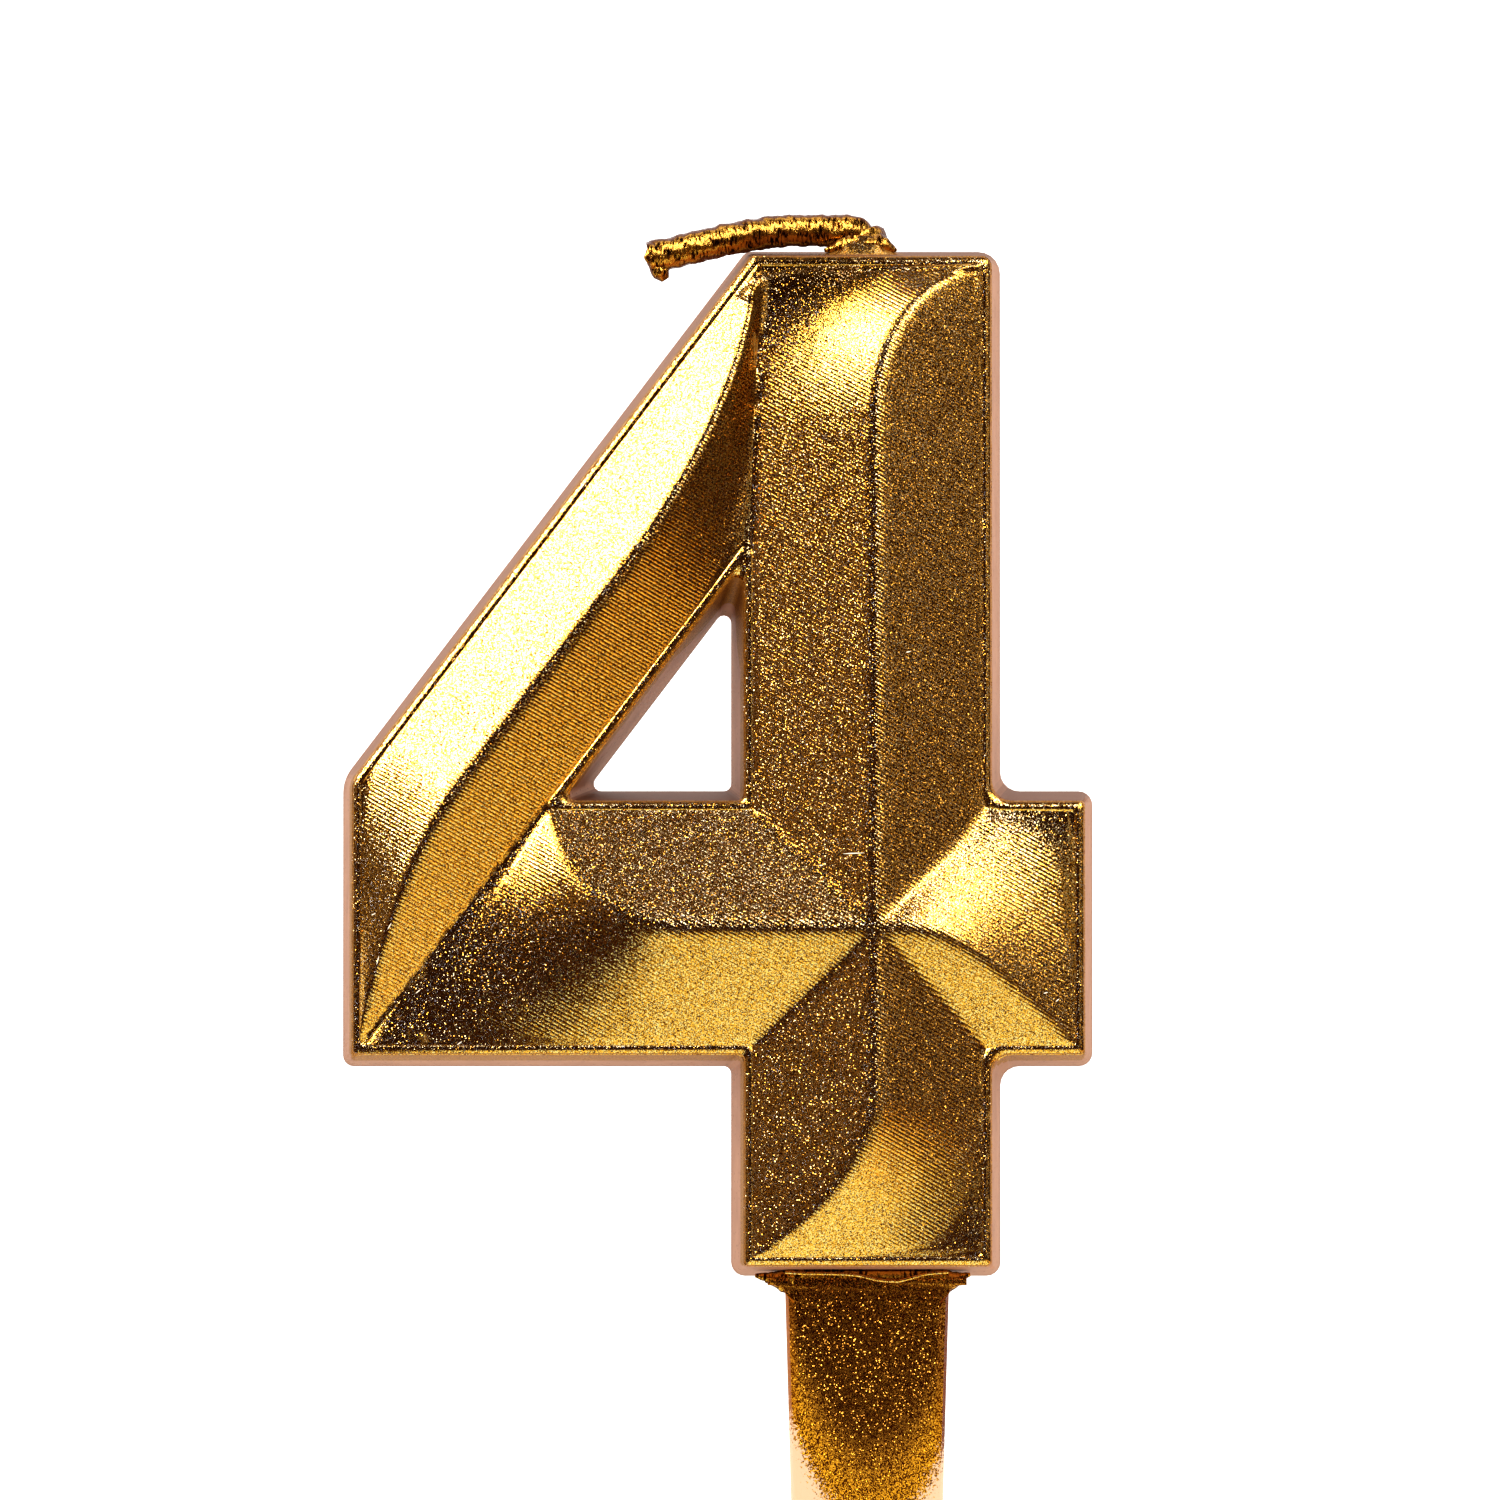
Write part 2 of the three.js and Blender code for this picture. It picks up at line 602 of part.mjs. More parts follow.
// Tang outline grown by a clearance, with barbs down both sides and a keying hole.
function tangShape(grow) {
  const half = TANG_WIDTH / 2 + grow;
  const shape = new THREE.Shape();
  const barbs = Math.floor((TANG_LENGTH - TANG_BARB_PITCH) / TANG_BARB_PITCH);
  shape.moveTo(-half, -RUN_PAST);
  shape.lineTo(half, -RUN_PAST);
  for (let k = 0; k < barbs; k += 1) {
    const z = (k + 1) * TANG_BARB_PITCH;
    shape.lineTo(half, z - grow);
    shape.lineTo(half + TANG_BARB, z - grow);
    shape.lineTo(half, z + TANG_BARB_PITCH / 2 + grow);
  }
  shape.lineTo(half, TANG_LENGTH + grow);
  shape.lineTo(-half, TANG_LENGTH + grow);
  for (let k = barbs - 1; k >= 0; k -= 1) {
    const z = (k + 1) * TANG_BARB_PITCH;
    shape.lineTo(-half, z + TANG_BARB_PITCH / 2 + grow);
    shape.lineTo(-half - TANG_BARB, z - grow);
    shape.lineTo(-half, z - grow);
  }
  shape.closePath();
  const hole = new THREE.Path();
  hole.absarc(0, TANG_LENGTH / 2, TANG_HOLE_RADIUS - grow, 0, 2 * Math.PI, true);
  shape.holes.push(hole);
  return shape;
}

function pickSolid() {
  const blade = slab(bladeShape(), PICK_THICKNESS, PICK_EDGE_ROUND);
  const collar = slab(shoulderShape(), PICK_THICKNESS, SHOULDER_EDGE_ROUND);
  return blade.add(collar).add(slab(tangShape(0), TANG_THICKNESS, 0));
}

function numeralBody() {
  const strokes = stemStroke().add(barStroke()).add(diagonalStroke());
  const tangSocket = slab(tangShape(CLEARANCE), TANG_THICKNESS + 2 * CLEARANCE, 0);
  const wickBore = wickTube(WICK_DIAMETER / 2 + CLEARANCE, CLEARANCE);
  const casting = mouldBlock().intersect(strokes).add(rimBead(OUTLINE)).add(rimBead(WINDOW));
  return casting.add(wickMound()).subtract(tangSocket).subtract(wickBore);
}

const numeral = new THREE.Mesh(
  toGeometry(numeralBody()),
  new THREE.MeshStandardMaterial({ color: 0xb88a35, roughness: 0.28, metalness: 1 }),
);
numeral.name = "numeral_body";

const wick = new THREE.Mesh(
  toGeometry(wickTube(WICK_DIAMETER / 2, 0)),
  new THREE.MeshStandardMaterial({ color: 0x8f6a2c, roughness: 0.45, metalness: 0.8 }),
);
wick.name = "wick";

const pick = new THREE.Mesh(
  toGeometry(pickSolid()),
  new THREE.MeshStandardMaterial({ color: 0xb5863a, roughness: 0.4, metalness: 0.5 }),
);
pick.name = "pick";

const group = new THREE.Group();
group.add(numeral, wick, pick);

export default group;
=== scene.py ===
"""Number candle, figure four: metallised wax, a coated wick and a plastic pick in studio light."""
import math

import bpy
import bmesh
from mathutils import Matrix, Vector, kdtree, noise
from mathutils.bvhtree import BVHTree


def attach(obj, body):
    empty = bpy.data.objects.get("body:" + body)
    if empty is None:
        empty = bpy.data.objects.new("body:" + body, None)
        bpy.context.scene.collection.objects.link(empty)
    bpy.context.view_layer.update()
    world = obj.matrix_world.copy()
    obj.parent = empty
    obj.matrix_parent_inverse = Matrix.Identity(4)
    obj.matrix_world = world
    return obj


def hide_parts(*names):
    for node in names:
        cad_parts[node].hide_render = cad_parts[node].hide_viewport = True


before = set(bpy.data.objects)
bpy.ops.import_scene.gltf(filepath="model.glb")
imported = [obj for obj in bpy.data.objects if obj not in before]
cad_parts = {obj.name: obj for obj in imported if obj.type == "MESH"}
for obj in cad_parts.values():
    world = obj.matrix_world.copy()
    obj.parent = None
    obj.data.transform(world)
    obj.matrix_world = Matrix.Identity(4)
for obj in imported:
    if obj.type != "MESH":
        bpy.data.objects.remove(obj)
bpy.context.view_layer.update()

MM = 0.001
BODY = "root"

# Lengths are in millimetres and angles in degrees throughout, unless a name ends in _M.
# Camera: straight on, a little above the foot of the stem and left of it, at about 0.8 m. The
# pixel is the one that it looks at squarely.
PHOTO_SIZE = 1500
PIXELS_PER_MM = 14.72
PIXEL_X = 652
PIXEL_Z = 1018
CAMERA_X = -14.6
CAMERA_Z = 17.6
CAMERA_DISTANCE = 825
SENSOR = 36
CLIP_M = (0.05, 20)

# Casting: its depths, as in the CAD model, with the face towards -Y.
RIM_Y = -4
BACK_Y = 5
WALL_FALL = 0.84 / 9
BEAD_TOP_Y = -4.0994
BEAD_HALF = 0.22
BEAD_TOLERANCE = 0.006
BEAD_SPACING = 0.08
JOIN_WITHIN = 0.002
CUT_WITHIN = 0.0005

# Easing of the face's ridges and valleys: cells of the finer mesh, the reach and the rings of the
# mean height, how close to the rim's bead it works, and a place in front of everything.
FACE_CLEAR = 0.02
CELL = 0.34
CREASE_ROUND = 0.5
EASE_RINGS = (0.45, 1.0)
EASE_TURNS = 8
BEAD_CLEAR = 0.02
NEAR_RIM = 0.3
OUTSIDE_Y = -20

# The valley between the slanting stroke and the bar stays crisp from the lower left corner to the
# window: its line, reach, rounding and floor, and how far behind the rim it is still eased.
CRISP_CREASE = ((-34.6, 15.6), (-21.6, 32.1))
CRISP_REACH = 0.9
CRISP_ROUND = 0.25
CRISP_FLOOR = -4.04
CRISP_SUNK = 0.15
CRISP_SUNK_REACH = 0.5

# Shading: the sharpest turn that still looks round, on the facets, near the rim, at the bead's
# foot and on the crisp crease.
FACET_BREAK = 30
RIM_BREAK = 40
RIM_BAND = 0.7
BEAD_BREAK = 12
BEAD_FOOT = (0.09, 0.32)
CRISP_BREAK = 6
CRISP_WIDTH = 0.12
PICK_BREAK = 32
TUBE_BREAK = 60

# Dip of the face under the top rim, full on the right and turned into a swelling on the left.
TOP_RIM_Z = 69.2
TOP_DIP = 0.28
TOP_DIP_REACH = 1.3
TOP_DIP_LEFT = -0.6

# Tool marks of the mould: pitch, fall of the lines, depth, and where they end at the rim.
MARK_PITCH = 0.25
MARK_FALL = 29
MARK_DEPTH = 0.010
MARKS_FROM_Y = (-4.14, -4.22)

# Grain of the coat. Real flakes are finer, and it is as coarse as needed to show in the picture.
# The leans say how far a flat grain, a standing one and a flake in the lacquer are turned. Grains
# stand, or carry a flake, where their random number is past the range given.
GRAIN = 0.055
FLAT_LEAN = 0.16
STANDING_LEAN = 0.60
STANDING_FROM = (0.87, 0.89)
FLAKE_LEAN = 0.9
FLAKE_FROM = (0.86, 0.88)
FLAKE_LEAST = 0.10
LACQUER_ROUGHNESS = 0.07
# Above plain lacquer's 1.5, because the flakes in it mirror more light than its surface does.
LACQUER_IOR = 1.8
METAL_ROUGHNESS = 0.13
WAX_ROUGHNESS = 0.6
GOLD = "#F4BA50"
PALE_GOLD = "#FBE3A6"
DARK_GRAIN = "#5A2E0A"
SPRAY_DARK = "#6A3F12"
SPRAY_LIGHT = "#BE8636"

# Painted shade at the top of the stem: a patch where the gold is darker and fewer flakes glint.
# Its middle, stretch, radii and what is left there of the flakes and of the gold.
PAINTED_SHADE_PATCH = (-3.8, 0, 68.1)
PAINTED_SHADE_STRETCH = (0.5, 0, 1)
PAINTED_SHADE_RADII = (1.2, 3.2)
PAINTED_SHADE_FLAKES = 0.1
PAINTED_SHADE_GOLD = 0.55

# Edge of the coat on the walls: where it fades, how ragged it is, and how much deeper it reaches
# under the bar but not under the foot, on the left, at the window's top and round the wick.
COAT_EDGE_Y = (-3.0, -3.5)
COAT_RAGGED = 0.9
RAGGED_SCALE = 1.1
SPRAY_BELOW = 4.2
SPRAY_FROM_Z = 5
SPRAY_LEFT = 2.3
WINDOW_TOP = (-9.7, -2.0, 46.6)
SPRAY_WINDOW = 6.0
WINDOW_RADII = (6.5, 4.0)
CROWN_Z = (69.3, 69.5)
CROWN_RADII = (3.2, 2.7)

# Bare wax: rose-tan, its clouds and its specks, browner on walls that face up, and darkened brown
# towards the back edge as painted shade.
ROSE_DARK = "#9A6C52"
ROSE_LIGHT = "#B98A6C"
CLOUD_SCALE = 2.5
SPECK_BROWN = "#4A2A1C"
SPECK_SCALE = 0.55
BACK_SHADE_AND_TOP_BROWN = "#6E4529"
BACK_SHADE_Y = (4.4, 6.2)

# Small hurts of the coat where the pale wax shows: middle, length and slant of each.
NICKS = [
    (-1.0, 28.7, 1.4, 2), (-32.3, 23.8, 0.5, 60), (-33.1, 21.5, 0.6, 75), (-30.4, 19.4, 0.45, 40),
    (-33.4, 24.6, 0.3, 20), (-14.6, 54.2, 0.25, 30), (12.0, 19.3, 0.3, 15), (12.8, 18.8, 0.3, 40),
    (2.7, 42.3, 0.35, 10), (-3.2, 27.9, 0.25, 0), (-27.6, 15.9, 0.4, 35),
]

# Their width, the stations along one as shares of half its length, and how thin its tips are.
NICK_WIDTH = 0.09
NICK_STATIONS = (-1, -0.4, 0.3, 1)
NICK_SIDES = 6
NICK_TIP = 0.3
NICK_TIP_RUN = 0.05
NICK_TIP_FROM = 0.95

# Top left corner: the groove and the swelling where the slanting stroke ends under the top rim.
CORNER_GROOVE = ((-8.9, 66.9), (-7.2, 68.3))
GROOVE_DEPTH = 0.35
GROOVE_WIDTH = 0.28
CORNER_SWELLING = (-8.0, 66.6)
SWELLING_HEIGHT = 0.22
SWELLING_WIDTH = 0.45

# Mound of wax at the wick's foot, as in the CAD model, the slack with which its corners are
# found, and how far its edge stays above the wall.
MOUND_X = -0.4
MOUND_RADIUS = 2.5
MOUND_FOOT = 70.0
MOUND_SLACK = 0.02
MOUND_EDGE = 0.04

# Wick: its middle line, as in the CAD model, and the number of points on its four parts.
WICK_DIAMETER = 2.3
BURIED_DIAMETER = 1.75
WICK_FOOT = 40
WICK_BEND_Z = 69.85
WICK_RUN_Z = 71.15
WICK_BEND = 1.4
WICK_RUN_END = -4.6
WICK_DROOP = ((-8.2, 71.1), (-11.6, 69.97))
WICK_TIP = (-14.8, 69.28)
WICK_STEPS = (50, 30, 40, 110)
BEND_PULL = 0.55

# Braid: three strands round each other, one turn in the length of the lay. Lumps of wax lie on
# them where the wick is free: how closely they lie round it, how long one is, and how high.
WICK_SIDES = 32
WICK_STRANDS = 3
WICK_LAY = 4.6
BRAID_CORE = 0.92
STRAND_SWELL = 0.05
STRAND_ROUND = 0.7
COARSE_LUMPS = (1.3, 0.55, 0.07)
FINE_LUMPS = (2.4, 0.22, 0.03)
FREE_FROM_Z = 70.3
FREE_RUN = 0.7
FREE_FROM_X = -1

# Threads of the wick, drawn somewhat coarser than real ones so that they show in the picture.
THREAD_SIZE = (0.16, 0.55, 0.55)
THREAD_LUMPS = 0.9
THREAD_DEPTH = 0.11
# Colour of the low places between the threads, painted shade.
THREAD_PIT_SHADE = "#3E1A04"
THREAD_GOLD = "#F4BC58"
# Colour of the wick's rim, painted shade where it turns away from view.
THREAD_RIM_SHADE = "#5E300E"

# Pick: its shoulder, and the sprayed coat, which thins out along a bow that hangs in the middle.
# The reaches of its drops and of its thick part are measured up from the bow. Its grain is drawn
# coarser than the real one too.
SHOULDER_TOP = -0.3
SHOULDER_FOOT = -2.1
SHOULDER_INNER = 5.3
SHOULDER_CLEAR = 0.05
SHOULDER_MELT = 0.55
COAT_END = -17
COAT_MIDDLE = 0.4
COAT_CURVE = 0.254
DROP_SIZE = 0.20
DROPS_REACH = (-4.0, 2.0)
THICK_REACH = (1.0, 7.5)
PICK_GRAIN = 0.065
PICK_FLAT_LEAN = 0.22
PICK_STANDING_LEAN = 0.75
PICK_CREAM = "#DAB898"
AMBER_DARK = "#4A2206"
AMBER_LIGHT = "#F4B434"
PICK_METAL_DARK = "#4A2208"
PICK_METAL_LIGHT = "#DCA046"
# Painted highlight on the pick's left side and painted shade on its right side.
PICK_LIT_LEFT_SIDE = "#98590F"
PICK_SHADED_RIGHT_SIDE = "#6C3004"

# Wax at the top of the pick: the plug under the casting and the ragged fillets over the ends of
# the shoulder, each as its middle line, its radii along it and how lumpy it is.
WAX_FILLETS = [
    ([(-5.0, -0.35, -0.1), (-6.3, -0.4, -0.05), (-7.6, -0.3, 0.12)],
     (0.70, 0.52, 0.36, 0.12), 0.35),
    ([(-5.3, -0.5, -0.75), (-6.1, -0.5, -0.45), (-6.9, -0.4, -0.2)], (0.42, 0.30, 0.15), 0.4),
    ([(5.0, -0.35, -0.1), (6.0, -0.4, 0.0), (7.0, -0.3, 0.2)], (0.70, 0.5, 0.3, 0.12), 0.35),
    ([(5.3, -0.5, -0.75), (6.0, -0.5, -0.4), (6.7, -0.4, -0.1)], (0.42, 0.28, 0.15), 0.4),
    ([(-5.4, 0, 0.1), (5.4, 0, 0.1)], (0.98, 0.98), 0.03),
]
LIP = [
    (-5.55, 0.36), (-4.4, 0.30), (-2.6, 0.27), (-1.4, 0.24), (-0.4, 0.12), (0.5, -0.12),
    (1.3, -0.22), (2.1, -0.24), (3.0, -0.02), (3.9, 0.24), (4.8, 0.34), (5.5, 0.38),
]
LIP_Y = -1.15
LIP_RADIUS = 0.13
LIP_STEPS = 4
LIP_SIDES = 12

# Loose threads at the bend, the tuft under the tip, and the wax that climbs the wick's foot.
WICK_FRAYS = [
    ([(-0.9, -0.5, 71.75), (-0.1, -0.5, 71.45), (0.72, -0.45, 71.05)], (0.22, 0.16, 0.03), 0.3),
    ([(-0.5, -0.6, 71.5), (0.3, -0.55, 71.05), (0.95, -0.5, 70.55)], (0.20, 0.14, 0.03), 0.3),
    ([(-0.2, -0.7, 71.1), (0.6, -0.6, 70.7), (1.15, -0.5, 70.35)], (0.22, 0.16, 0.04), 0.3),
    ([(-14.4, -0.1, 69.1), (-14.1, -0.2, 68.4), (-13.7, -0.1, 67.8)],
     (0.62, 0.60, 0.62, 0.30), 0.25),
    ([(-14.75, -0.2, 69.9), (-14.95, -0.3, 69.3), (-14.8, -0.2, 68.8)], (0.16, 0.2, 0.10), 0.4),
]
WICK_ROOT = [
    ([(0, 0, 70.2), (0, 0, 70.8), (-0.15, 0, 71.2)], (1.75, 1.5, 1.25, 0.9), 0.16),
    ([(-0.9, -0.9, 70.2), (-1.9, -1.1, 69.95), (-2.9, -0.9, 69.75)], (0.75, 0.5, 0.12), 0.3),
    ([(0.7, -0.8, 70.3), (1.3, -0.9, 70.0), (2.0, -0.7, 69.75)], (0.75, 0.5, 0.12), 0.3),
]

# Rods of wax and thread: points between two ends, sides, the step that gives each rod other
# lumps, the length of a lump and the thinnest tip.
ROD_STEPS = 6
ROD_SIDES = 14
ROD_SEED = 3.7
ROD_LUMP = 0.4
ROD_THINNEST = 0.01

# Studio: a white floor, and toned cards in front of the candle, beside it and on the table, which
# show only as reflections. The cards in front stand behind the camera.
FLOOR_Z = -50
FLOOR_REACH = 4000
TABLE_Z = FLOOR_Z + 1
CARD_REACH = 3000
FRONT_Y = -1300
FRONT_TOP = 3000
STRIP_TOP = 700
SIDE_TOP = 1500
SIDE_BACK_Y = 400
CEILING_Z = 2900
TABLE_FRONT_Y = -150
TABLE_BACK_Y = 60
LIGHT_AIM = (-5, 0, 35)
LIGHT_DISTANCE = 1100
WORLD_GLOW = 1.25


def srgb(code):
    """A hex colour as the linear colour that the shader works in."""
    parts = [int(code[i:i + 2], 16) / 255 for i in (1, 3, 5)]
    linear = [p / 12.92 if p <= 0.04045 else ((p + 0.055) / 1.055) ** 2.4 for p in parts]
    return (*linear, 1.0)


def add_node(material, kind, values=None, **settings):
    """One shader node: its settings by name, its sockets as constants or other nodes' outputs."""
    tree = material.node_tree
    node = tree.nodes.new(kind)
    for name, value in settings.items():
        setattr(node, name, value)
    for name, value in (values or {}).items():
        if isinstance(value, bpy.types.NodeSocket):
            tree.links.new(value, node.inputs[name])
        else:
            node.inputs[name].default_value = value
    return node


def new_material(name):
    """A node material, emptied of its default nodes."""
    material = bpy.data.materials.new(name)
    material.use_nodes = True
    material.node_tree.nodes.clear()
    return material


def coat_mask(material, place, axes, lie):
    """How much of the coat lies on the wax: all over the face, ragged on the walls.

    It ends just past the rim, but reaches further over the walls that look down or left, in the
    window's top corner and on the mound at the wick's foot.
    """
    ragged = add_node(
        material, "ShaderNodeTexNoise",
        {"Vector": place, "Scale": 1 / (RAGGED_SCALE * MM), "Detail": 3.0, "Roughness": 0.6},
    )
    under = add_node(
        material, "ShaderNodeMapRange",
        {"Value": lie["Z"], "From Min": -0.3, "From Max": -1.0, "To Min": 0.0,
         "To Max": SPRAY_BELOW * MM},
    )
    above_foot = add_node(
        material, "ShaderNodeMath", {0: axes["Z"], 1: SPRAY_FROM_Z * MM}, operation="GREATER_THAN",
    )
    under = add_node(
        material, "ShaderNodeMath",
        {0: under.outputs[0], 1: above_foot.outputs[0]}, operation="MULTIPLY",
    )
    left = add_node(
        material, "ShaderNodeMapRange",
        {"Value": lie["X"], "From Min": -0.5, "From Max": -0.95, "To Min": 0.0,
         "To Max": SPRAY_LEFT * MM},
    )
    corner = add_node(
        material, "ShaderNodeVectorMath",
        {0: place, 1: tuple(MM * v for v in WINDOW_TOP)}, operation="DISTANCE",
    )
    corner = add_node(
        material, "ShaderNodeMapRange",
        {"Value": corner.outputs["Value"], "From Min": WINDOW_RADII[0] * MM,
         "From Max": WINDOW_RADII[1] * MM, "To Min": 0.0, "To Max": SPRAY_WINDOW * MM},
    )
    spray = add_node(
        material, "ShaderNodeMath", {0: under.outputs[0], 1: left.outputs[0]}, operation="MAXIMUM",
    )
    spray = add_node(
        material, "ShaderNodeMath",
        {0: spray.outputs[0], 1: corner.outputs[0]}, operation="MAXIMUM",
    )
    depth = add_node(
        material, "ShaderNodeMath",
        {0: ragged.outputs["Fac"], 1: COAT_RAGGED * MM, 2: axes["Y"]}, operation="MULTIPLY_ADD",
    )
    depth = add_node(
        material, "ShaderNodeMath",
        {0: depth.outputs[0], 1: spray.outputs[0]}, operation="SUBTRACT",
    )
    coat = add_node(
        material, "ShaderNodeMapRange",
        {"Value": depth.outputs[0], "From Min": COAT_EDGE_Y[0] * MM,
         "From Max": COAT_EDGE_Y[1] * MM},
    )
    crown = add_node(
        material, "ShaderNodeMapRange",
        {"Value": axes["Z"], "From Min": CROWN_Z[0] * MM, "From Max": CROWN_Z[1] * MM},
    )
    crown_side = add_node(
        material, "ShaderNodeVectorMath",
        {0: place, 1: (MOUND_X * MM, 0, MOUND_FOOT * MM)}, operation="DISTANCE",
    )
    crown_side = add_node(
        material, "ShaderNodeMapRange",
        {"Value": crown_side.outputs["Value"], "From Min": CROWN_RADII[0] * MM,
         "From Max": CROWN_RADII[1] * MM},
    )
    crown = add_node(
        material, "ShaderNodeMath",
        {0: crown.outputs[0], 1: crown_side.outputs[0]}, operation="MULTIPLY",
    )
    coat = add_node(
        material, "ShaderNodeMath", {0: coat.outputs[0], 1: crown.outputs[0]}, operation="MAXIMUM",
    )
    return coat.outputs[0]


def leaning_normal(material, facing, grain, scale):
    """The surface's normal turned each grain's own way, by as much as scale says."""
    lean = add_node(
        material, "ShaderNodeVectorMath",
        {0: grain.outputs["Color"], 1: (0.5, 0.5, 0.5)}, operation="SUBTRACT",
    )
    lean = add_node(
        material, "ShaderNodeVectorMath", {0: lean.outputs[0], "Scale": scale}, operation="SCALE",
    )
    tilted = add_node(
        material, "ShaderNodeVectorMath", {0: facing, 1: lean.outputs[0]}, operation="ADD",
    )
    tilted = add_node(
        material, "ShaderNodeVectorMath", {0: tilted.outputs[0]}, operation="NORMALIZE",
    )
    return tilted.outputs[0]


def wall_colour(material, place, axes, lie, tones, coat):
    """The walls' rose-tan wax, and the dull overspray on it as far as the coat reaches.

    The wax is slightly clouded, with fine dark specks, and browner on walls that face up. Towards
    the back edge it is darkened brown as painted shade.
    """
    cloud = add_node(
        material, "ShaderNodeTexNoise",
        {"Vector": place, "Scale": 1 / (CLOUD_SCALE * MM), "Detail": 4.0},
    )
    bare = add_node(
        material, "ShaderNodeMix",
        {"Factor": cloud.outputs["Fac"], 6: srgb(ROSE_DARK), 7: srgb(ROSE_LIGHT)}, data_type="RGBA",
    )
    speck = add_node(
        material, "ShaderNodeTexVoronoi", {"Vector": place, "Scale": 1 / (SPECK_SCALE * MM)},
    )
    speck = add_node(
        material, "ShaderNodeMapRange",
        {"Value": speck.outputs["Distance"], "From Min": 0.10, "From Max": 0.16,
         "To Min": 0.75, "To Max": 0.0},
    )
    bare = add_node(
        material, "ShaderNodeMix",
        {"Factor": speck.outputs[0], 6: bare.outputs[2], 7: srgb(SPECK_BROWN)}, data_type="RGBA",
    )
    # Painted shade: the wax darkens to brown towards the back edge.
    back_shade = add_node(
        material, "ShaderNodeMath",
        {0: cloud.outputs["Fac"], 1: 2.0 * MM, 2: axes["Y"]}, operation="MULTIPLY_ADD",
    )
    back_shade = add_node(
        material, "ShaderNodeMapRange",
        {"Value": back_shade.outputs[0], "From Min": BACK_SHADE_Y[0] * MM, "From Max": BACK_SHADE_Y[1] * MM,
         "To Min": 0.0, "To Max": 0.6},
    )
    # Walls that face up turn browner.
    above = add_node(
        material, "ShaderNodeMapRange",
        {"Value": lie["Z"], "From Min": 0.3, "From Max": 0.9, "To Min": 0.0, "To Max": 0.8},
    )
    back_shade_and_top_brown = add_node(
        material, "ShaderNodeMath",
        {0: back_shade.outputs[0], 1: above.outputs[0]}, operation="MAXIMUM",
    )
    bare = add_node(
        material, "ShaderNodeMix",
        {"Factor": back_shade_and_top_brown.outputs[0], 6: bare.outputs[2], 7: srgb(BACK_SHADE_AND_TOP_BROWN)}, data_type="RGBA",
    )
    overspray = add_node(
        material, "ShaderNodeMix",
        {"Factor": tones["Blue"], 6: srgb(SPRAY_DARK), 7: srgb(SPRAY_LIGHT)}, data_type="RGBA",
    )
    wall = add_node(
        material, "ShaderNodeMix",
        {"Factor": coat, 6: bare.outputs[2], 7: overspray.outputs[2]}, data_type="RGBA",
    )
    return wall.outputs[2]


